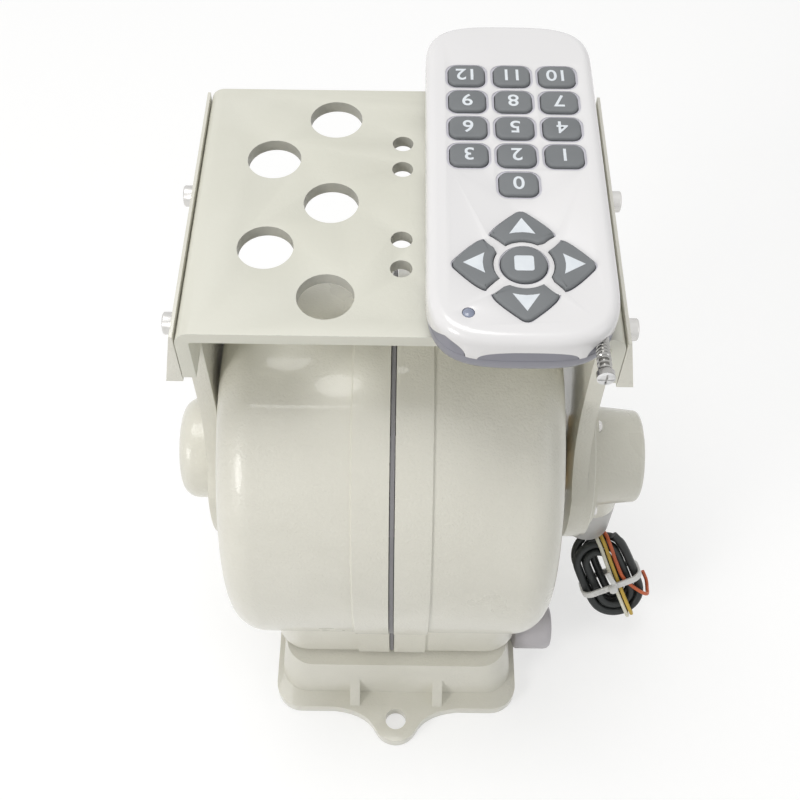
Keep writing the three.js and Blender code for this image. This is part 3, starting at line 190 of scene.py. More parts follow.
def new_group(name, inputs, outputs):
    """A group with named inputs and outputs, and what its nodes start from and lead to."""
    group = bpy.data.node_groups.new(name, "ShaderNodeTree")
    for label, value in inputs:
        entry = group.interface.new_socket(label, in_out="INPUT", socket_type="NodeSocketFloat")
        entry.default_value = value
    for label in outputs:
        group.interface.new_socket(label, in_out="OUTPUT", socket_type="NodeSocketFloat")
    nodes = group.nodes
    place = nodes.new("ShaderNodeTexCoord").outputs["Object"]
    entries, results = nodes.new("NodeGroupInput").outputs, nodes.new("NodeGroupOutput").inputs
    return group, nodes, group.links, place, entries, results


def noise(nodes, links, place, scale, detail=2.0, roughness=0.5, distortion=0.0):
    node = nodes.new("ShaderNodeTexNoise")
    node.inputs["Detail"].default_value = detail
    node.inputs["Roughness"].default_value = roughness
    node.inputs["Distortion"].default_value = distortion
    links.new(place, node.inputs["Vector"])
    if isinstance(scale, bpy.types.NodeSocket):
        links.new(scale, node.inputs["Scale"])
    else:
        node.inputs["Scale"].default_value = scale
    return node.outputs["Fac"]


def spread(nodes, links, value, low, high, to_low=0.0, to_high=1.0):
    node = nodes.new("ShaderNodeMapRange")
    for label, number in (("From Min", low), ("From Max", high), ("To Min", to_low), ("To Max", to_high)):
        node.inputs[label].default_value = number
    links.new(value, node.inputs["Value"])
    return node.outputs["Result"]


def calculate(nodes, links, how, first, second):
    node = nodes.new("ShaderNodeMath")
    node.operation = how
    for slot_number, value in enumerate((first, second)):
        if isinstance(value, bpy.types.NodeSocket):
            links.new(value, node.inputs[slot_number])
        else:
            node.inputs[slot_number].default_value = value
    return node.outputs[0]


# Paint skin: a broad orange peel with finer pits, and slow blotches in its shade
skin_group, nodes, links, place, entries, results = new_group(
    "paint skin",
    [("Peel scale", 420.0), ("Pit scale", 1500.0), ("Blotch scale", 14.0)],
    ["Height", "Blotch"],
)
peel = noise(nodes, links, place, entries["Peel scale"], 2.0, 0.45)
pits = noise(nodes, links, place, entries["Pit scale"], 1.0)
fine = calculate(nodes, links, "MULTIPLY", pits, 0.35)
links.new(calculate(nodes, links, "ADD", peel, fine), results["Height"])
blotch = noise(nodes, links, place, entries["Blotch scale"], 4.0, 0.6, 0.4)
links.new(spread(nodes, links, blotch, 0.35, 0.65), results["Blotch"])

# Wear: broken spots that show along an edge
wear_group, nodes, links, place, entries, results = new_group(
    "edge wear", [("Chip scale", 300.0), ("Amount", 0.5)], ["Mask"]
)
chips = noise(nodes, links, place, entries["Chip scale"], 3.0, 0.65, 0.3)
limit = calculate(nodes, links, "SUBTRACT", 1.0, entries["Amount"])
above = calculate(nodes, links, "SUBTRACT", chips, limit)
links.new(spread(nodes, links, above, 0.0, 0.05), results["Mask"])

# Moulded grain: a fine even texture with faint cloudiness, for plastic and rubber
grain_group, nodes, links, place, entries, results = new_group(
    "moulded grain", [("Grain scale", 2500.0), ("Cloud scale", 25.0)],
    ["Height", "Cloud"],
)
links.new(noise(nodes, links, place, entries["Grain scale"], 1.0), results["Height"])
cloud = noise(nodes, links, place, entries["Cloud scale"], 3.0)
links.new(spread(nodes, links, cloud, 0.3, 0.7), results["Cloud"])

# Metal streaks: noise drawn out along one direction by an uneven scale
streak_group, nodes, links, place, entries, results = new_group(
    "metal streaks", [("Streak scale", 900.0), ("Smudge scale", 60.0)],
    ["Height", "Smudge"],
)
drawn_out = nodes.new("ShaderNodeMapping")
drawn_out.inputs["Scale"].default_value = (0.12, 1.0, 1.0)
links.new(place, drawn_out.inputs["Vector"])
streaks = noise(nodes, links, drawn_out.outputs["Vector"], entries["Streak scale"], 2.0)
links.new(streaks, results["Height"])
smudge = noise(nodes, links, place, entries["Smudge scale"], 3.0)
links.new(spread(nodes, links, smudge, 0.3, 0.7), results["Smudge"])
print("groups", [g.name for g in bpy.data.node_groups])

# %% [markdown]
# The materials use those groups for colour, roughness and bump. A value that is the same all
# over is set on the shader's own socket, because a linked one is lost when the model is exported.

# %% A material from one of the groups
def make_material(name, group, settings, colours, roughness, bump, metallic=0.0, coat=0.0):
    """Settings follow the group's inputs. Its last output, a mask, moves between the two colours
    and between the two roughnesses."""
    material = bpy.data.materials.new(name)
    material.use_nodes = True
    nodes, links = material.node_tree.nodes, material.node_tree.links
    shader = nodes["Principled BSDF"]
    effect = nodes.new("ShaderNodeGroup")
    effect.node_tree = group
    for socket, value in zip(effect.inputs, settings):
        socket.default_value = value
    mask = effect.outputs[-1]
    mix = nodes.new("ShaderNodeMix")
    mix.data_type = "RGBA"
    mix.inputs["A"].default_value = (*colours[0], 1)
    mix.inputs["B"].default_value = (*colours[1], 1)
    links.new(mask, mix.inputs["Factor"])
    links.new(mix.outputs["Result"], shader.inputs["Base Color"])
    links.new(spread(nodes, links, mask, 0, 1, *roughness), shader.inputs["Roughness"])
    shader.inputs["Metallic"].default_value = metallic
    shader.inputs["Coat Weight"].default_value = coat
    if "Height" in effect.outputs:
        bumps = nodes.new("ShaderNodeBump")
        bumps.inputs["Distance"].default_value = bump * mm
        bumps.inputs["Strength"].default_value = 1.0
        links.new(effect.outputs["Height"], bumps.inputs["Height"])
        links.new(bumps.outputs["Normal"], shader.inputs["Normal"])
    return material


# %% The finishes of this object
ivory = make_material(
    "ivory_cast_paint", skin_group, (900, 2600, 12),
    [(0.70, 0.685, 0.60), (0.76, 0.745, 0.66)], (0.26, 0.36), 0.22, coat=0.35)
pale_ivory = make_material(
    "pale_sheet_paint", skin_group, (600, 2200, 9),
    [(0.665, 0.66, 0.57), (0.72, 0.715, 0.63)], (0.36, 0.5), 0.07)
# Edge finish of the castings' rounded edges and fillets: a darker band that is painted shade, with worn
# chips that are darker still.
edge_wear_and_shade = make_material(
    "worn_edge_and_painted_shade", wear_group, (260, 0.42),
    [(0.63, 0.61, 0.52), (0.42, 0.41, 0.38)], (0.4, 0.5), 0)
# Painted highlight on the rounded rims of the holes, lighter than the sheet, with worn chips from the wear
# mask.
rim_highlight_and_wear = make_material(
    "rim_painted_highlight_and_wear", wear_group, (500, 0.5),
    [(0.74, 0.73, 0.66), (0.56, 0.55, 0.50)], (0.4, 0.5), 0)
# Painted shade: the walls inside the holes of the sheet and of the foot's ears are coloured darker than the
# paint round them.
shaded_hole_wall = make_material(
    "hole_wall_painted_shade", skin_group, (500, 1500, 60),
    [(0.42, 0.415, 0.37), (0.5, 0.495, 0.44)], (0.45, 0.6), 0.1)
stainless = make_material(
    "stainless", streak_group, (1100, 120),
    [(0.60, 0.59, 0.57), (0.72, 0.71, 0.69)], (0.22, 0.36), 0.03, metallic=1.0)
grey_cast = make_material(
    "grey_cast_metal", skin_group, (700, 2600, 40),
    [(0.42, 0.415, 0.40), (0.52, 0.515, 0.50)], (0.4, 0.55), 0.08, metallic=0.6)
bearing_bronze = make_material(
    "bearing_bronze", streak_group, (1000, 90),
    [(0.42, 0.28, 0.11), (0.52, 0.37, 0.17)], (0.3, 0.45), 0.03, metallic=1.0)
pale_plug = make_material(
    "pale_grey_moulding", grain_group, (1300, 30),
    [(0.50, 0.48, 0.50), (0.57, 0.55, 0.57)], (0.4, 0.5), 0.03)
cable_black = make_material(
    "black_sheath", grain_group, (1800, 60),
    [(0.010, 0.012, 0.012), (0.022, 0.026, 0.025)], (0.42, 0.55), 0.05)
seal_grey = make_material(
    "grey_seal", grain_group, (1500, 45),
    [(0.21, 0.205, 0.215), (0.27, 0.265, 0.275)], (0.6, 0.75), 0.06)
board_green = make_material(
    "green_board", grain_group, (900, 70),
    [(0.010, 0.085, 0.036), (0.018, 0.12, 0.055)], (0.35, 0.5), 0.03)
gloss_white = make_material(
    "gloss_white_plastic", grain_group, (900, 10),
    [(0.80, 0.79, 0.79), (0.84, 0.83, 0.83)], (0.20, 0.28), 0.008, coat=0.3)
tie_white = make_material(
    "natural_nylon", grain_group, (1600, 90),
    [(0.72, 0.72, 0.70), (0.80, 0.80, 0.78)], (0.3, 0.42), 0.02)
lavender_grey = make_material(
    "lavender_grey_plastic", grain_group, (1400, 22),
    [(0.245, 0.245, 0.285), (0.285, 0.285, 0.325)], (0.28, 0.38), 0.02, coat=0.2)
key_rubber = make_material(
    "grey_key_rubber", grain_group, (2600, 60),
    [(0.165, 0.175, 0.182), (0.20, 0.21, 0.217)], (0.5, 0.62), 0.03)
key_print = make_material(
    "white_key_print", grain_group, (2600, 200),
    [(0.72, 0.76, 0.80), (0.80, 0.84, 0.87)], (0.5, 0.6), 0.01)
# Painted shade: the lilac-grey walls and floors of the shallow wells round the keys and the lamp.
rim_shadow = make_material(
    "key_well", grain_group, (1200, 50),
    [(0.60, 0.59, 0.64), (0.68, 0.67, 0.72)], (0.35, 0.45), 0.01)
chrome = make_material(
    "chrome_plate", streak_group, (1500, 150),
    [(0.36, 0.355, 0.34), (0.46, 0.455, 0.44)], (0.14, 0.24), 0.01, metallic=1.0)
yellow_sheath = make_material(
    "yellow_insulation", grain_group, (2200, 90),
    [(0.56, 0.37, 0.05), (0.66, 0.46, 0.08)], (0.35, 0.45), 0.01)
white_sheath = make_material(
    "white_insulation", grain_group, (2200, 90),
    [(0.72, 0.70, 0.58), (0.80, 0.78, 0.68)], (0.35, 0.45), 0.01)
orange_sheath = make_material(
    "orange_insulation", grain_group, (2200, 90),
    [(0.52, 0.10, 0.03), (0.62, 0.14, 0.045)], (0.35, 0.45), 0.01)
led_glass = make_material(
    "led_lens", grain_group, (1500, 300),
    [(0.20, 0.23, 0.32), (0.28, 0.31, 0.40)], (0.12, 0.2), 0.01, coat=0.5)
print("materials", len(bpy.data.materials))

# %% The cables and the hidden CAD pieces take their finishes
slot_material = {
    "painted_casting": ivory, "painted_platform": pale_ivory, "stainless_steel": stainless,
    "grey_metal": grey_cast, "bronze": bearing_bronze, "black_sheath": cable_black,
    "gasket_rubber": seal_grey, "circuit_board": board_green, "white_plastic": gloss_white,
    "grey_plastic": lavender_grey, "key_rubber": key_rubber, "chrome": chrome,
    "yellow_insulation": yellow_sheath, "white_insulation": white_sheath,
    "orange_insulation": orange_sheath,
}
node_slot = {part["node"]: part["material_slot"] for part in frame["record"]["subparts"]}
node_body = {n: body for body, names in frame["record"]["behaviour"]["bodies"].items() for n in names}
for name, slot_name in node_slot.items():
    frame["nodes"][name].data.materials.clear()
    frame["nodes"][name].data.materials.append(slot_material[slot_name])
for name, cable in cables.items():
    cable.data.materials.append(slot_material[node_slot[name]])

# %% [markdown]
# Every piece below starts as a primitive or a flat outline, placed where it belongs, and is shaped
# in edit mode. Operators act on all that is selected, so the first helper always clears the
# selection, and faces and edges are then picked by where they are or where they look.

# %% Tools: one object at a time, picking by place, and the starting shapes
def alone(obj=None):
    if bpy.context.object and bpy.context.object.mode != "OBJECT":
        bpy.ops.object.mode_set(mode="OBJECT")
    bpy.ops.object.select_all(action="DESELECT")
    if obj is not None:
        obj.select_set(True)
        bpy.context.view_layer.objects.active = obj
    return obj


def settled(name):
    """The primitive just added becomes a piece, with its place moved into its mesh."""
    obj = bpy.context.object
    obj.name = obj.data.name = name
    bpy.ops.object.transform_apply(location=True, rotation=True, scale=True)
    return obj


def pick(kind, test):
    """In edit mode, selects the faces or edges that pass a test, and nothing else."""
    bpy.ops.mesh.select_mode(type=kind)
    bpy.ops.mesh.select_all(action="DESELECT")
    mesh = bmesh.from_edit_mesh(bpy.context.object.data)
    for item in mesh.faces if kind == "FACE" else mesh.edges:
        item.select_set(test(item))
    bmesh.update_edit_mesh(bpy.context.object.data)


def cuboid(name, low, high):
    low, high = Vector(low) * mm, Vector(high) * mm
    alone()
    bpy.ops.mesh.primitive_cube_add(size=1, location=(low + high) / 2, scale=high - low)
    return settled(name)


QUARTER = math.pi / 2
AXIS_TURN = {"x": (0, QUARTER, 0), "y": (-QUARTER, 0, 0), "z": (0, 0, 0)}


def rod(name, radius, low, high, axis="z", at=(0, 0), sides=64):
    middle = (low + high) / 2
    centre = {"x": (middle, *at), "y": (at[0], middle, at[1]), "z": (*at, middle)}[axis]
    alone()
    bpy.ops.mesh.primitive_cylinder_add(
        vertices=sides, radius=radius * mm, depth=(high - low) * mm,
        location=Vector(centre) * mm, rotation=AXIS_TURN[axis])
    return settled(name)


def from_points(name, points, edges, faces):
    mesh = bpy.data.meshes.new(name)
    mesh.from_pydata([Vector(p) * mm for p in points], edges, faces)
    obj = bpy.data.objects.new(name, mesh)
    bpy.context.scene.collection.objects.link(obj)
    return alone(obj)


def spun(name, profile, axis="z", at=(0, 0), steps=96):
    """A profile of (radius, distance along the axis) pairs, spun a full turn."""
    points = [(radius, 0, along) for radius, along in profile]
    obj = from_points(name, points, [(i, i + 1) for i in range(len(points) - 1)], [])
    bpy.ops.object.mode_set(mode="EDIT")
    bpy.ops.mesh.select_all(action="SELECT")
    bpy.ops.mesh.spin(steps=steps, angle=2 * math.pi, center=(0, 0, 0), axis=(0, 0, 1))
    bpy.ops.mesh.select_all(action="SELECT")
    bpy.ops.mesh.remove_doubles(threshold=2e-6)
    bpy.ops.mesh.normals_make_consistent(inside=False)
    bpy.ops.object.mode_set(mode="OBJECT")
    centre = {"x": (0, *at), "y": (at[0], 0, at[1]), "z": (*at, 0)}[axis]
    turned = {"x": Matrix.Rotation(QUARTER, 4, "Y"), "y": Matrix.Rotation(-QUARTER, 4, "X"),
              "z": Matrix.Identity(4)}[axis]
    obj.data.transform(Matrix.Translation(Vector(centre) * mm) @ turned)
    return obj


PLANES = {"xy": lambda a, b, c: (a, b, c), "yz": lambda a, b, c: (c, a, b), "xz": lambda a, b, c: (a, c, b)}


def slab(name, outline, low, high, plane="xy"):
    """A flat outline, filled and extruded across its plane."""
    put = PLANES[plane]
    obj = from_points(name, [put(a, b, low) for a, b in outline], [], [range(len(outline))])
    bpy.ops.object.mode_set(mode="EDIT")
    bpy.ops.mesh.select_all(action="SELECT")
    bpy.ops.mesh.extrude_region_move(
        TRANSFORM_OT_translate={"value": Vector(put(0, 0, high - low)) * mm})
    bpy.ops.mesh.select_all(action="SELECT")
    bpy.ops.mesh.normals_make_consistent(inside=False)
    bpy.ops.object.mode_set(mode="OBJECT")
    return obj


def rounded_box(name, low, high, corner, draft=0.0, segments=8):
    """A box with rounded upright edges. draft is how much wider each side is at the foot."""
    obj = cuboid(name, (low[0] - draft, low[1] - draft, low[2]), (high[0] + draft, high[1] + draft, high[2]))
    bpy.ops.object.mode_set(mode="EDIT")
    if draft:
        pick("FACE", lambda f: f.normal.z > 0.5)
        width, depth = high[0] - low[0], high[1] - low[1]
        share = (width / (width + 2 * draft), depth / (depth + 2 * draft), 1)
        bpy.ops.transform.resize(value=share, center_override=(
            (low[0] + high[0]) / 2 * mm, (low[1] + high[1]) / 2 * mm, high[2] * mm))
    pick("EDGE", lambda e: abs(e.verts[0].co.z - e.verts[1].co.z) > 1e-5)
    bpy.ops.mesh.bevel(offset=corner * mm, segments=segments, affect="EDGES")
    bpy.ops.object.mode_set(mode="OBJECT")
    return obj


def arc(x, y, radius, start, end, steps=12):
    return [(x + radius * math.cos(start + (end - start) * i / steps),
             y + radius * math.sin(start + (end - start) * i / steps)) for i in range(steps + 1)]


def rounded_outline(low, high, radius, steps):
    """A flat rectangle with round corners, between its lowest and highest corners."""
    left, near, right, far = low[0] + radius, low[1] + radius, high[0] - radius, high[1] - radius
    return [point for i, (x, y) in enumerate(((right, far), (left, far), (left, near), (right, near)))
            for point in arc(x, y, radius, i * QUARTER, (i + 1) * QUARTER, steps)]


def bend(first, control, last, steps=8):
    """Points along a quadratic curve, without the first."""
    shares = [i / steps for i in range(1, steps + 1)]
    return [tuple((1 - t) ** 2 * a + 2 * t * (1 - t) * c + t**2 * b
                  for a, c, b in zip(first, control, last)) for t in shares]


# %% Tools: joining, cutting, rounding off and handing a piece to its body
def combined(obj, others, how="UNION"):
    for other in others:
        alone(obj)
        join = obj.modifiers.new("join", "BOOLEAN")
        join.operation, join.solver, join.object = how, "EXACT", other
        join.material_mode = "TRANSFER"
        bpy.ops.object.modifier_apply(modifier=join.name)
        bpy.data.objects.remove(other, do_unlink=True)
    return obj


def cut(obj, *cutters, wall=None):
    for cutter in cutters:
        if wall is not None:
            cutter.data.materials.append(wall)
    return combined(obj, cutters, "DIFFERENCE")


def softened(obj, width, segments=3, angle=30, edge=None):
    """Rounds off the sharp edges. The new faces may take an edge finish of their own."""
    alone(obj)
    bevel = obj.modifiers.new("edges", "BEVEL")
    bevel.width, bevel.segments = width * mm, segments
    bevel.limit_method, bevel.angle_limit = "ANGLE", math.radians(angle)
    bevel.miter_outer = "MITER_ARC"
    if edge is not None:
        obj.data.materials.append(edge)
        bevel.material = len(obj.data.materials) - 1
    bpy.ops.object.modifier_apply(modifier=bevel.name)
    bpy.ops.object.mode_set(mode="EDIT")
    bpy.ops.mesh.select_all(action="SELECT")
    bpy.ops.mesh.dissolve_degenerate(threshold=1e-6)
    bpy.ops.object.mode_set(mode="OBJECT")
    return obj


def copied(obj, name):
    twin = obj.copy()
    twin.data = obj.data.copy()
    twin.name = twin.data.name = name
    bpy.context.scene.collection.objects.link(twin)
    return twin


def mirrored(obj, name):
    """A copy on the other side of the head, with its faces turned outwards again."""
    twin = copied(obj, name)
    twin.data.transform(Matrix.Scale(-1, 4, (1, 0, 0)))
    twin.data.flip_normals()
    return twin


pieces = []


def finished(obj, node, extra=False):
    """Smooth shading, and the node's body. Unless it is an extra, it stands for the node."""
    alone(obj)
    bpy.ops.object.shade_smooth_by_angle(angle=math.radians(35))
    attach(obj, node_body[node])
    if not extra:
        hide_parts(node)
    pieces.append(obj)


def painted(obj, material):
    obj.data.materials.clear()
    obj.data.materials.append(material)
    return obj


# %% [markdown]
# The foot is a sand-cast pedestal with a flange, four holed ears and short gussets. Its parts are
# joined into one skin, and then every edge is rounded, as paint over a casting never shows a
# sharp corner.

# %% Base casting
base_height, flange_height = 34.4, 6.9
ear_reach, ear_hole, ear_spread = 11.4, 10.5, 37


def ear(name, edge, out):
    lean = math.pi / 3
    touch = (ear_reach * math.sin(lean), edge + out + ear_reach * math.cos(lean))
    half = bend((ear_spread, edge - 0.3), (touch[0] + ear_reach / 2, edge), touch)
    outline = [(-ear_spread, edge - ear_spread), (ear_spread, edge - ear_spread), (ear_spread, edge - 0.3)]
    outline += half + arc(0, edge + out, ear_reach, QUARTER - lean, QUARTER + lean)[1:-1]
    outline += [(-x, y) for x, y in reversed(half)] + [(-ear_spread, edge - 0.3)]
    piece = slab(name, outline, 0, flange_height)
    return cut(piece, rod("hole", ear_hole / 2, -1, 9, at=(0, edge + out)), wall=shaded_hole_wall)


def turned_about_z(obj, quarters):
    obj.data.transform(Matrix.Rotation(quarters * QUARTER, 4, "Z"))
    return obj


base = painted(rounded_box("base_foot", (-61.7, -79, 0), (61.7, 79, flange_height), 13), ivory)
ears = [turned_about_z(painted(ear("ear", 79, 6), ivory), i) for i in (0, 2)]
ears += [turned_about_z(painted(ear("ear", 61.7, 8), ivory), i) for i in (1, 3)]
pedestal = rounded_box("pedestal", (-55.4, -67, 6.6), (55.4, 67, base_height), 14, draft=3.8)
gussets = []
for x in (-21, 21):
    for end in (-1, 1):
        side_view = [(62, 6.6), (78.5, 6.6), (66.7, 22.9), (62, 22.9)]
        gussets.append(slab("gusset", [(end * y, z) for y, z in side_view], x - 2.5, x + 2.5, "yz"))
combined(base, [pedestal, *gussets, *ears])
cavity = rounded_box("cavity", (-50.4, -62, -1), (50.4, 62, 28.4), 9)
cut(base, cavity, rod("spindle_hole", 22.3, 26, 37), rod("port", 6.8, 48.4, 70, "x", (-40, 22.6)))
for y in (-46, 46):
    boss = rod("boss", 5, 3.3, 28.7, at=(0, y))
    combined(base, [boss])
    cut(base, rod("pilot", 1.8, 0, 16, at=(0, y)))
softened(base, 1.1, 3, edge=edge_wear_and_shade)
finished(base, "base_casting")
print("base", len(base.data.polygons), "faces")

# %% [markdown]
# The drum is two cast halves that meet on a grey seal. Spinning its profile gives the even
# rounding at both ends. The square neck below goes in by a boolean union, the inside is taken out
# so that the gears have their room, and the whole is then split at the seam.

# %% Turret halves
seam_middle, seam_gap, seal_thick, tilt_height = -2.4, 2.3, 1.7, 130.4
drum_radius, drum_left, drum_right, drum_fillet, drum_wall = 82.4, 73.4, 66.9, 16, 4
hub_radius, hub_length = 21, 13.7
tilt_axis = (0, tilt_height)


def drum_profile(radius, left, right, fillet, band):
    ends = arc(0, 0, fillet, 0, QUARTER, 16)
    low_end = [(radius - fillet + y, -left + fillet - x) for x, y in ends]
    high_end = [(radius - fillet + y, right - fillet + x) for x, y in reversed(ends)]
    middle = []
    if band:
        low, high = seam_middle - 16.5, seam_middle + 16.5
        middle = [(radius, low), (radius + band, low + 0.7), (radius + band, high - 0.7), (radius, high)]
    return [(0, -left), *low_end, *middle, *high_end, (0, right)]


whole = spun("turret", drum_profile(drum_radius, drum_left, drum_right, drum_fillet, 1), "x", tilt_axis, 160)
painted(whole, ivory)
neck = rounded_box("neck", (-60, -60, 37), (60, 60, 110), 16)
neck_band = cuboid("neck_band", (-18.9, -61, 37), (14.1, 61, 110))
combined(whole, [neck, neck_band])
inner_sizes = [size - drum_wall for size in (drum_radius, drum_left, drum_right, drum_fillet)]
inside = spun("inside", drum_profile(*inner_sizes, 0), "x", tilt_axis, 96)
combined(inside, [rounded_box("neck_inside", (-56, -56, 41), (56, 56, 110), 12)])
cut(whole, inside)
combined(whole, [rod("hub", hub_radius, start, start + hub_length, "x", tilt_axis)
                 for start in (0.3 - drum_left, drum_right - 0.3 - hub_length)])
cut(whole, rod("bush_hole", 14.7, -80, 80, "x", tilt_axis), rod("floor_hole", 26.3, 35, 43))
for name, low, high in (("left_shell", seam_middle - seam_gap / 2, 200),
                        ("right_shell", -200, seam_middle + seam_gap / 2)):
    half = copied(whole, name + "_casting")
    cut(half, cuboid("half_space", (low, -150, 0), (high, 150, 260)))
    softened(half, 0.8, 3, edge=edge_wear_and_shade)
    finished(half, name)
    print(name, len(half.data.polygons), "faces")
bpy.data.objects.remove(whole, do_unlink=True)

# %% The seal between the halves sits just below the paint
seal_low, seal_high = seam_middle - seal_thick / 2, seam_middle + seal_thick / 2
seal = painted(rod("seam_seal", 82.9, seal_low, seal_high, "x", tilt_axis, 160), seal_grey)
combined(seal, [cuboid("neck_seal", (seal_low, -60.5, 38.4), (seal_high, 60.5, 109))])
cut(seal, rod("seal_inside", 77.4, -9, 9, "x", tilt_axis, 160),
    cuboid("neck_opening", (-9, -55, 42), (9, 55, 110)), rod("floor_opening", 27.4, 30, 43))
finished(seal, "shell_gasket")

# %% [markdown]
# The platform is bent sheet, five millimetres thick, with round holes. The holes show a darker wall,
# which is painted shade, and a pale rim, which is a painted highlight with a few worn spots, so the
# cutters hand their own finish to the walls and the rounding hands a third finish to the rims.

# %% Platform
plate_front, plate_rear, plate_middle = -32.8, 95.8, 31.5
outer = arc(74, 252, 6, 0, QUARTER) + arc(-74, 252, 6, QUARTER, math.pi)
inner = arc(-74, 252, 1, math.pi, QUARTER, 4) + arc(74, 252, 1, QUARTER, 0, 4)
outline = [(80, 232), *outer, (-80, 232), (-75, 232), *inner, (75, 232)]
platform = painted(slab("platform_sheet", outline, plate_front, plate_rear, "xz"), pale_ivory)
hole_places = []
for side_of in (-1, 1):
    hole_places += [(10.5, side_of * 27.1, y) for y in (-46.4, 0, 46.4)]
    hole_places += [(10.5, side_of * 50.5, y) for y in (-23.2, 23.2)]
    hole_places += [(4.1, 0, side_of * y) for y in (18.5, 32.8)]
for radius, x, y in hole_places:
    cut(platform, rod("hole", radius, 250, 262, at=(x, plate_middle + y), sides=72), wall=shaded_hole_wall)
screw_places = [(plate_front + 15.8, 244), (plate_rear - 48, 244)]
for y, z in screw_places:
    cut(platform, rod("screw_hole", 2.7, -90, 90, "x", (y, z), 32))
softened(platform, 0.7, 3, edge=rim_highlight_and_wear)
finished(platform, "platform")

# %% [markdown]
# Each arm is a disc on the tilt axis, a waist and a thicker head that takes two cap screws. The
# left one starts a little further out, so it is made on the right and then turned over to its own
# side, with its faces put right afterwards.

# %% Arms
arm_thick = 6.8
disc_radius, waist_front, waist_rear, waist_up = 38.5, 16, 42, 68
web_top, shoulder_low = 231.5, 219.5
lean = math.pi / 7
disc_side, disc_up = disc_radius * math.cos(lean), tilt_height + disc_radius * math.sin(lean)
waist = tilt_height + waist_up
web = [(disc_side, disc_up)]
web += bend(web[-1], (waist_rear - 3, (disc_up + waist) / 2), (waist_rear, waist))
web += bend(web[-1], (waist_rear, shoulder_low), (plate_rear - 12, web_top))
web += [(3 - waist_front, web_top)]
web += bend(web[-1], (-waist_front, web_top), (-waist_front, shoulder_low), 10)
web += [(-waist_front, waist)]
web += bend(web[-1], (-waist_front, disc_up + 12), (-disc_side, disc_up))
web += arc(0, tilt_height, disc_radius, math.pi - lean, 2 * math.pi + lean, 40)[1:-1]
shoulder = [(3 - waist_front, web_top), (-waist_front, web_top - 3), (-waist_front, shoulder_low),
            (waist_rear, shoulder_low), (plate_rear - 12, 225.5), (plate_rear - 12, web_top)]


def make_arm(name, disc_inner):
    """An arm on the right of the head, its disc starting at disc_inner."""
    arm = painted(slab(name, web, disc_inner, disc_inner + arm_thick, "yz"), ivory)
    step = slab("step", shoulder, disc_inner, 86.3, "yz")
    head = from_points(
        "head", [(x, y, z) for z, x_out in ((229.5, 86.6), (256, 81.5))
                 for x, y in ((80.3, plate_front), (x_out, plate_front),
                              (x_out, plate_rear), (80.3, plate_rear))],
        [], [(3, 2, 1, 0), (4, 5, 6, 7), (0, 1, 5, 4), (1, 2, 6, 5), (2, 3, 7, 6), (3, 0, 4, 7)])
    combined(arm, [step, head])
    cut(arm, rod("shaft_hole", 10.3, 70, 84, "x", tilt_axis))
    for y, z in screw_places:
        cut(arm, rod("bore", 2.7, 70, 95, "x", (y, z), 32), rod("seat", 5.6, 81.9, 95, "x", (y, z), 48))
    return softened(arm, 0.5, 3, edge=edge_wear_and_shade)


finished(make_arm("right_arm_casting", 74.7), "right_arm")
template = make_arm("left_arm_template", 75.4)
finished(mirrored(template, "left_arm_casting"), "left_arm")
bpy.data.objects.remove(template, do_unlink=True)

# %% Cap screws: a plain round head with a hexagon socket and a washer under it
screw = spun("cap_screw", [
    (0, 75), (2.4, 75), (2.4, 82.05), (5.1, 82.05), (5.1, 82.8), (4.25, 82.8), (4.25, 86.7),
    (3.8, 87.2), (0, 87.2)], "x", (0, 0), 48)
painted(screw, stainless)
cut(screw, rod("hexagon", 2.3, 84.6, 89, "x", sides=6))
softened(screw, 0.15, 2)
for i, (y, z) in enumerate(screw_places, 1):
    one = copied(screw, f"right_cap_screw_{i}")
    one.data.transform(Matrix.Translation(Vector((0, y, z)) * mm))
    twin = mirrored(one, f"left_cap_screw_{i}")
    finished(one, f"right_screw_{i}")
    finished(twin, f"left_screw_{i}")
bpy.data.objects.remove(screw, do_unlink=True)
print("pieces", len(pieces))

# %% [markdown]
# Both ends of the tilt axis are closed by cast caps. The left is a plain domed lid. The right one has
# a stepped flange with small screws and a housing, and the cable leaves it downwards.

# %% Caps and cable outlet
dome = arc(15.9, 91.2, 7, 0, QUARTER, 10)
lid = spun("left_cap_lid", [(17, 82.5), (22.9, 82.5), *dome, (0, 98.2), (0, 95.2), (17, 95.2), (17, 82.5)],
           "x", (0, 0))
lid.data.transform(Matrix.Translation((0, 0, tilt_height * mm)) @ Matrix.Scale(-1, 4, (1, 0, 0)))
lid.data.flip_normals()
painted(lid, ivory)
softened(lid, 0.6, 3, edge=edge_wear_and_shade)
finished(lid, "left_cap")

cap_height, outlet_x = tilt_height - 2.5, 94.8
nose = arc(18.7, 107.3, 2.5, 0, QUARTER, 8)
housing = painted(spun("right_cap_housing", [
    (0, 85), (36.5, 81.8), (36.5, 84.6), (36.1, 85), (32.2, 85), (31.5, 85.6), (31.5, 87.4), (23.2, 87.4),
    *nose, (0, 109.8)], "x", (0, cap_height)), ivory)
boss = rod("outlet_boss", 12, 89.5, tilt_height, at=(outlet_x, 0))
cut(boss, cuboid("arm_side", (70, -20, 80), (81.8, 20, 140)))
combined(housing, [boss])
cut(housing, rod("hollow", 18.2, 78, 106.8, "x", (0, cap_height)),
    rod("outlet_bore", 9, 87, tilt_height, at=(outlet_x, 0)))
softened(housing, 0.8, 3, edge=edge_wear_and_shade)
finished(housing, "right_cap")

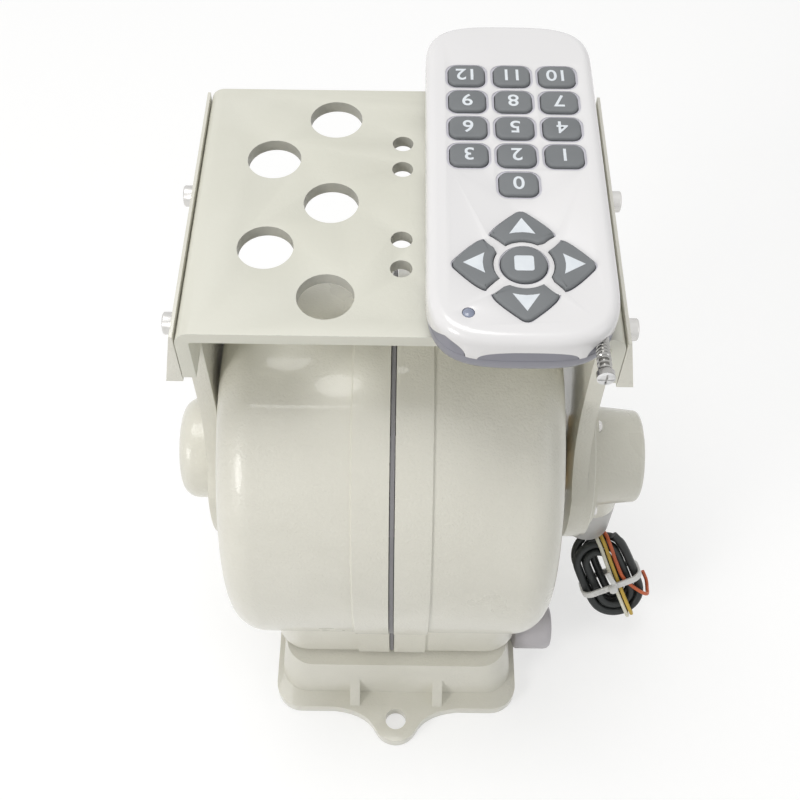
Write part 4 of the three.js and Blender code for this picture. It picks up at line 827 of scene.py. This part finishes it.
collar = painted(spun("outlet_collar", [
    (0, 67.9), (10.8, 67.9), (10.8, 65.4), (11.2, 65.4), (12, 66.3), (12, 88.2), (11.6, 88.6), (11.6, 89.2),
    (8.7, 89.2), (8.7, 91.2), (0, 91.2)], "z", (outlet_x, 0)), grey_cast)
softened(collar, 0.3, 2)
finished(collar, "cable_outlet")
flange_screw = spun(
    "flange_screw", [(0, 87.45), (2.7, 87.45), (2.7, 88.5), (2.1, 89.3), (0, 89.5)], "x", (0, 0), 32)
painted(flange_screw, stainless)
cut(flange_screw, cuboid("slot_one", (88.6, -1.5, -0.25), (91, 1.5, 0.25)),
    cuboid("slot_two", (88.6, -0.25, -1.5), (91, 0.25, 1.5)))
screw_ring = 27.4
for i in range(4):
    angle = math.radians(94 + 90 * i)
    one = copied(flange_screw, f"flange_screw_{i + 1}")
    one.data.transform(Matrix.Translation(Vector((
        0, screw_ring * math.cos(angle), cap_height + screw_ring * math.sin(angle))) * mm))
    finished(one, "right_screw_1", extra=True)
bpy.data.objects.remove(flange_screw, do_unlink=True)
print("pieces", len(pieces))

# %% [markdown]
# The remote has a glossy white upper shell over a lavender-grey lower shell. Each key is its own
# piece and moves on its own, so the shell really has eighteen openings, and the keys stand in
# them with a soft pale rim all round. Three scallops at the near end show the lower shell.

# %% Handset shells
set_front, set_back = -48.5, 116
set_low, lower_top, upper_low, upper_top = 258.3, 265.3, 265.6, 276.8
set_wall, set_middle, half_width, skirt_top = 2.0, 41.85, 33.25, 273.4
led_at, mast_at = (22.7, -36.5), (68.2, 268)
end_power, arch_power = 0.62, 0.8


def squarish(a, power):
    """Cosine and sine, both drawn towards 1, which makes an ellipse squarer."""
    c = math.cos(a)
    return math.copysign(abs(c) ** power, c), math.sin(a) ** power


def shell_outline(inset, front_depth=30, back_depth=24):
    """Straight flanks and two bowed ends, each half of a superellipse."""
    points = []
    for end, depth, edge in ((1, back_depth, set_back - inset), (-1, front_depth, set_front + inset)):
        for i in range(41):
            across, along = squarish(math.pi * i / 40, end_power)
            points.append((set_middle + across * (half_width - inset) * end,
                           edge + end * (along - 1) * (depth - inset)))
    return points


def shell_edges(obj, z_low, z_high, width, segments=6):
    """Rounds the rim of a shell that lies between two heights."""
    alone(obj)
    bpy.ops.object.mode_set(mode="EDIT")
    pick("EDGE", lambda e: all(z_low * mm < v.co.z < z_high * mm for v in e.verts)
         and len(e.link_faces) == 2 and e.calc_face_angle(0) > 0.5)
    bpy.ops.mesh.bevel(offset=width * mm, segments=segments, affect="EDGES")
    bpy.ops.object.mode_set(mode="OBJECT")
    return obj


def scallop(name, middle, half, top, grow=0.0, low=upper_low - 1):
    """A low arch on the near end, where the grey lower shell shows."""
    arch = [squarish(math.pi * i / 24, arch_power) for i in range(25)]
    arch = [(middle + (half + grow) * x, low + (top + grow - low) * y) for x, y in arch]
    edge = (-47 + grow, 276)
    fall = [(-61, low - 1), (-61, 276), edge, *bend(edge, (-38 + grow, 267), (-26 + grow, low - 1))]
    return combined(slab(name, arch, -60, -26, "xz"), [slab("fall", fall, -10, 95, "yz")], "INTERSECT")


scallops = [("middle", 43.2, 17.4, 270.6), ("left", 9.5, 12.6, 272.4), ("right", 75.5, 12.4, 272.4)]
lower = painted(slab("handset_lower_shell", shell_outline(0.4), set_low, lower_top), lavender_grey)
shell_edges(lower, set_low - 0.1, set_low + 0.1, 4.5, 8)
cut(lower, slab("lower_inside", shell_outline(5), set_low + set_wall, lower_top + 5))
skirt = slab("near_skirt", shell_outline(0.5), lower_top - 0.6, skirt_top)
shell_edges(skirt, skirt_top - 0.1, skirt_top + 0.1, 2.2, 5)
cut(skirt, slab("skirt_inside", shell_outline(1.7), lower_top - 2, 276),
    cuboid("behind", (0, -25, 255), (90, 130, 280)))
kept = [scallop(name, middle, half, top, -0.25, lower_top - 1) for name, middle, half, top in scallops]
combined(kept[0], kept[1:])
combined(skirt, [kept[0]], "INTERSECT")
combined(lower, [skirt])
softened(lower, 0.2, 2, 50)
finished(lower, "handset_base")

upper = painted(slab("handset_upper_shell", shell_outline(0), upper_low, upper_top), gloss_white)
shell_edges(upper, upper_top - 0.1, upper_top + 0.1, 4.2, 10)
cut(upper, slab("upper_inside", shell_outline(2.2), upper_low - 2, upper_top - set_wall - 1.2))
cut(upper, *[scallop(*place) for place in scallops], wall=lavender_grey)
cut(upper, rod("mast_hole", 2.8, -54, -38, "y", mast_at, 40))

# %% Key outlines: number keys, the round middle key and the four arrow keys
pad_x, pad_y, key_pitch_x, key_pitch_y, key_row_y = 42.3, -15.3, 17.75, 14.8, 38


def number_outline(grow):
    w, d = 14.2 / 2 + grow, 11.6 / 2 + grow
    return rounded_outline((-w, -d), (w, d), 3.4 + grow, 8)


def round_outline(grow):
    return arc(0, 0, 8.1 + grow, 0, 2 * math.pi, 48)[:-1]


def arrow_outline(grow):
    lip, half, tip, opening, heel = 10.8 - min(grow, 0.3), 11.2 + grow, 24.6 + grow, 0.62, 1.2
    shoulder_y, blunt = 13.4, 2.6
    start = (lip * math.sin(opening), lip * math.cos(opening))
    flank = bend(start, (half - heel, 10.8 + 2 * heel), (half, shoulder_y), 6)
    flank += bend((half, shoulder_y), (half, shoulder_y + blunt), (blunt, tip - blunt / 2), 12)
    nose_line = bend((blunt, tip - blunt / 2), (0, tip + blunt / 2), (-blunt, tip - blunt / 2), 8)
    other = [(-x, y) for x, y in reversed(flank[:-1])]
    inner_line = arc(0, 0, lip, QUARTER + opening, QUARTER - opening, 12)[:-1]
    return flank + nose_line + other + inner_line


keys = {}
for row_number, row in enumerate(((3, 2, 1), (6, 5, 4), (9, 8, 7), (12, 11, 10))):
    for i, number in enumerate(row):
        keys[f"key_{number}"] = (
            pad_x + (i - 1) * key_pitch_x, key_row_y + row_number * key_pitch_y, 0, number_outline)
keys["key_0"] = (pad_x, key_row_y - key_pitch_y, 0, number_outline)
keys["key_stop"] = (pad_x, pad_y, 0, round_outline)
arrow_keys = ("key_far", "key_left", "key_near", "key_right")
for i, name in enumerate(arrow_keys):
    keys[name] = (pad_x, pad_y, i, arrow_outline)


def placed(x, y, quarters, outline):
    c, s = round(math.cos(quarters * QUARTER)), round(math.sin(quarters * QUARTER))
    return [(x + c * a - s * b, y + s * a + c * b) for a, b in outline]


def key_outline(name, grow):
    x, y, quarters, outline_of = keys[name]
    return placed(x, y, quarters, outline_of(grow))


# %% Openings in the upper shell, and shallow wells round them
for name in keys:
    rim = 1.2 if keys[name][3] is number_outline else 0.7
    cut(upper, slab("well", key_outline(name, rim), upper_top - 0.3, upper_top + 1), wall=rim_shadow)
for name in keys:
    cut(upper, slab("opening", key_outline(name, 0.3), upper_low, upper_top + 1), wall=lavender_grey)
cut(upper, rod("led_hole", 2.2, upper_low, upper_top + 1, at=led_at, sides=32), wall=rim_shadow)
softened(upper, 0.12, 2, 40)
finished(upper, "handset_top")
print("upper shell", len(upper.data.polygons), "faces")

# %% Keys, each with a rounded crown and the foot lip that holds it in
foot_low, key_top = 270.7, upper_top + 1.1
for name in keys:
    key = painted(slab(name + "_cap", key_outline(name, 0), foot_low, key_top), key_rubber)
    shell_edges(key, key_top - 0.05, key_top + 0.05, 0.9, 5)
    combined(key, [slab("lip", key_outline(name, 0.6), 273.1, 274.5)])
    finished(key, name)

# %% Printed digits and arrows, a hair above the key tops
def print_on(name, obj):
    painted(obj, key_print)
    obj.name = obj.data.name = "print_" + name
    finished(obj, name, extra=True)


for name, (x, y, _, outline_of) in keys.items():
    if outline_of is number_outline:
        alone()
        bpy.ops.object.text_add(
            location=(x * mm, (y + 0.4) * mm, (key_top + 0.03) * mm), rotation=(0, 0, math.pi))
        label = bpy.context.object
        label.data.body = name.split("_")[1]
        label.data.size = 9.0 * mm
        label.data.align_x, label.data.align_y = "CENTER", "CENTER"
        label.data.extrude = 0.03 * mm
        label.data.offset = 0.1 * mm
        label.data.space_character = 0.95
        label.data.resolution_u = 6
        bpy.ops.object.convert(target="MESH")
        print_on(name, settled("label"))
base_line, tip_line, half = 13.6, 21.1, 4.6
triangle = [(-half, base_line), (-half / 2, base_line + 0.5), (0, base_line + 0.7),
            (half / 2, base_line + 0.5), (half, base_line), (0, tip_line)]
for i, name in enumerate(arrow_keys):
    print_on(name, slab("label", placed(pad_x, pad_y, i, triangle), key_top - 0.02, key_top + 0.06))
square = rounded_outline((pad_x - 3.4, pad_y - 3.4), (pad_x + 3.4, pad_y + 3.4), 1.0, 5)
print_on("key_stop", slab("label", square, key_top - 0.02, key_top + 0.06))

# %% Lamp, aerial socket and the telescopic mast
led = painted(spun("led_lens", [(0, 269.9), (2.0, 269.9), (2.0, 276.6), (1.5, 277.0), (0, 277.1)], "z",
                   led_at, 40), led_glass)
finished(led, "handset_led")
grooves = [(radius, along + more) for along in (-47.4, -46.1, -44.8, -43.5)
           for radius, more in ((2.4, 0), (1.95, 0.3), (1.95, 0.6), (2.4, 0.9))]
socket = painted(spun("aerial_socket", [
    (1.8, -48.3), (2.1, -48.3), (2.4, -47.9), *grooves, (2.4, -37.3), (1.8, -37.3), (1.8, -48.3)],
    "y", mast_at, 48), chrome)
finished(socket, "antenna_socket")
rings = [(1.5, 13.7), (1.5, -47.6)]
for radius, along in ((2.5, -48.4), (2.5, -50.3), (2.4, -52.2)):
    rings += [(1.7, along), (radius, along - 0.35), (radius, along - 1.0), (1.7, along - 1.35)]
mast = painted(spun("aerial_mast", [
    (0, 13.7), *rings, (1.5, -53.9), (2.9, -54.0), (3.1, -54.3), (3.1, -56.5), (0, -56.5)],
    "y", mast_at, 48), chrome)
mast_tip = spun(
    "mast_tip", [(0, -56.4), (3.1, -56.4), (3.1, -56.9), (2.6, -57.3), (0, -57.3)], "y", mast_at, 48)
cut(mast_tip, cuboid("cross_one", (65.4, -59, 267.6), (71.0, -56.3, 268.4)),
    cuboid("cross_two", (67.8, -59, 265.2), (68.6, -56.3, 270.8)))
alone(mast)
mast_tip.select_set(True)
bpy.ops.object.join()
finished(mast, "antenna_mast")

# %% [markdown]
# Two small pieces are left: the round connector low on the right of the foot, and the nylon tie
# that holds the hank together.

# %% Connector on the base
plug = painted(spun("base_connector_body", [
    (0, 50.4), (6.5, 50.4), (6.5, 59.5), (9, 59.9), (10.9, 60.6), (11.5, 61.6), (11.5, 75.6), (11.1, 77.6),
    (9.9, 79.0), (8.2, 79.5), (0, 79.5)], "x", (-40, 22.6), 72), pale_plug)
softened(plug, 0.2, 2, 40)
finished(plug, "base_connector")

# %% Nylon tie round the hank: a ribbed strap, its head in front and the clipped end
tie_half, tie_front, tie_back, tie_corner = 15.2, 7.3, 7.8, 4.8


def tie_loop(grow):
    half, front, back = tie_half + grow, tie_front + grow, tie_back + grow
    return rounded_outline((-half, -back), (half, front), tie_corner + grow, 10)


strap = slab("tie_strap", tie_loop(1.1), -1.5, 1.5)
cut(strap, slab("inside", tie_loop(0.0), -3, 3))
head_block = cuboid("tie_head", (-2.3, 7.4, -2.3), (2.3, 11.9, 2.3))
softened(head_block, 1.8, 5)
stub = cuboid("tie_stub", (0.6, 8.6, -9.5), (3.0, 9.7, 1))
stub.data.transform(Matrix.Rotation(0.16, 4, "Y"))
combined(strap, [head_block, stub])
for i in range(7):
    cut(strap, cuboid("rib", (-4.6 - 0.9 * i, 8.2, -0.8), (-4.2 - 0.9 * i, 9.6, 0.8)))
painted(strap, tie_white)
hank_frame = Matrix((hank_across, hank_stack, hank_aim)).transposed().to_4x4()
strap.data.transform(Matrix.Translation((hank_centre + 4 * hank_aim) * mm) @ hank_frame)
softened(strap, 0.12, 2, 40)
finished(strap, "zip_tie")
print("pieces", len(pieces))

# %% [markdown]
# The stage is a plain pale floor under soft studio light. The white background comes from what the
# camera sees of the floor and the sky, and not from more light on the paint.

# %% Floor, sky and lamps
def seen_directly(nodes, links):
    """1 for what the camera sees, straight or mirrored, and 0 for the light that falls on things."""
    path = nodes.new("ShaderNodeLightPath")
    return calculate(nodes, links, "MAXIMUM", path.outputs["Is Camera Ray"], path.outputs["Is Glossy Ray"])


alone()
bpy.ops.mesh.primitive_plane_add(size=8, location=(0, 0, -0.0002))
floor = settled("studio_floor")
floor_paint = bpy.data.materials.new("studio_floor_white")
floor_paint.use_nodes = True
nodes, links = floor_paint.node_tree.nodes, floor_paint.node_tree.links
shader = nodes["Principled BSDF"]
shader.inputs["Base Color"].default_value = (0.95, 0.95, 0.94, 1)
shader.inputs["Roughness"].default_value = 0.9
glow = nodes.new("ShaderNodeEmission")
glow.inputs["Strength"].default_value = 1.15
seen = calculate(nodes, links, "MULTIPLY", seen_directly(nodes, links), 0.5)
blend_floor = nodes.new("ShaderNodeMixShader")
links.new(seen, blend_floor.inputs["Fac"])
links.new(shader.outputs["BSDF"], blend_floor.inputs[1])
links.new(glow.outputs["Emission"], blend_floor.inputs[2])
links.new(blend_floor.outputs["Shader"], nodes["Material Output"].inputs["Surface"])
floor.data.materials.append(floor_paint)

world = bpy.data.worlds.new("studio")
bpy.context.scene.world = world
world.use_nodes = True
nodes, links = world.node_tree.nodes, world.node_tree.links
sky = nodes["Background"]
sky.inputs["Color"].default_value = (1.0, 1.0, 1.0, 1)
links.new(spread(nodes, links, seen_directly(nodes, links), 0, 1, 0.42, 0.95), sky.inputs["Strength"])


def lamp(name, place, aim, size, power, colour=(1, 1, 1)):
    data = bpy.data.lights.new(name, "AREA")
    data.shape, data.size, data.energy, data.color = "DISK", size, power, colour
    obj = bpy.data.objects.new(name, data)
    obj.location = place
    obj.rotation_euler = (Vector(aim) - Vector(place)).to_track_quat("-Z", "Y").to_euler()
    bpy.context.scene.collection.objects.link(obj)


lamp("ceiling_lamp", (-0.25, 0.2, 1.7), (0, 0, 0.15), 0.9, 10.5)
lamp("window_left", (-1.1, -0.9, 0.9), (0, 0, 0.15), 0.55, 7.5, (1.0, 0.985, 0.97))
lamp("fill_right", (1.3, -0.5, 0.8), (0, 0, 0.12), 0.9, 2.0, (0.97, 0.985, 1.0))
bpy.context.scene.view_settings.view_transform = "Standard"
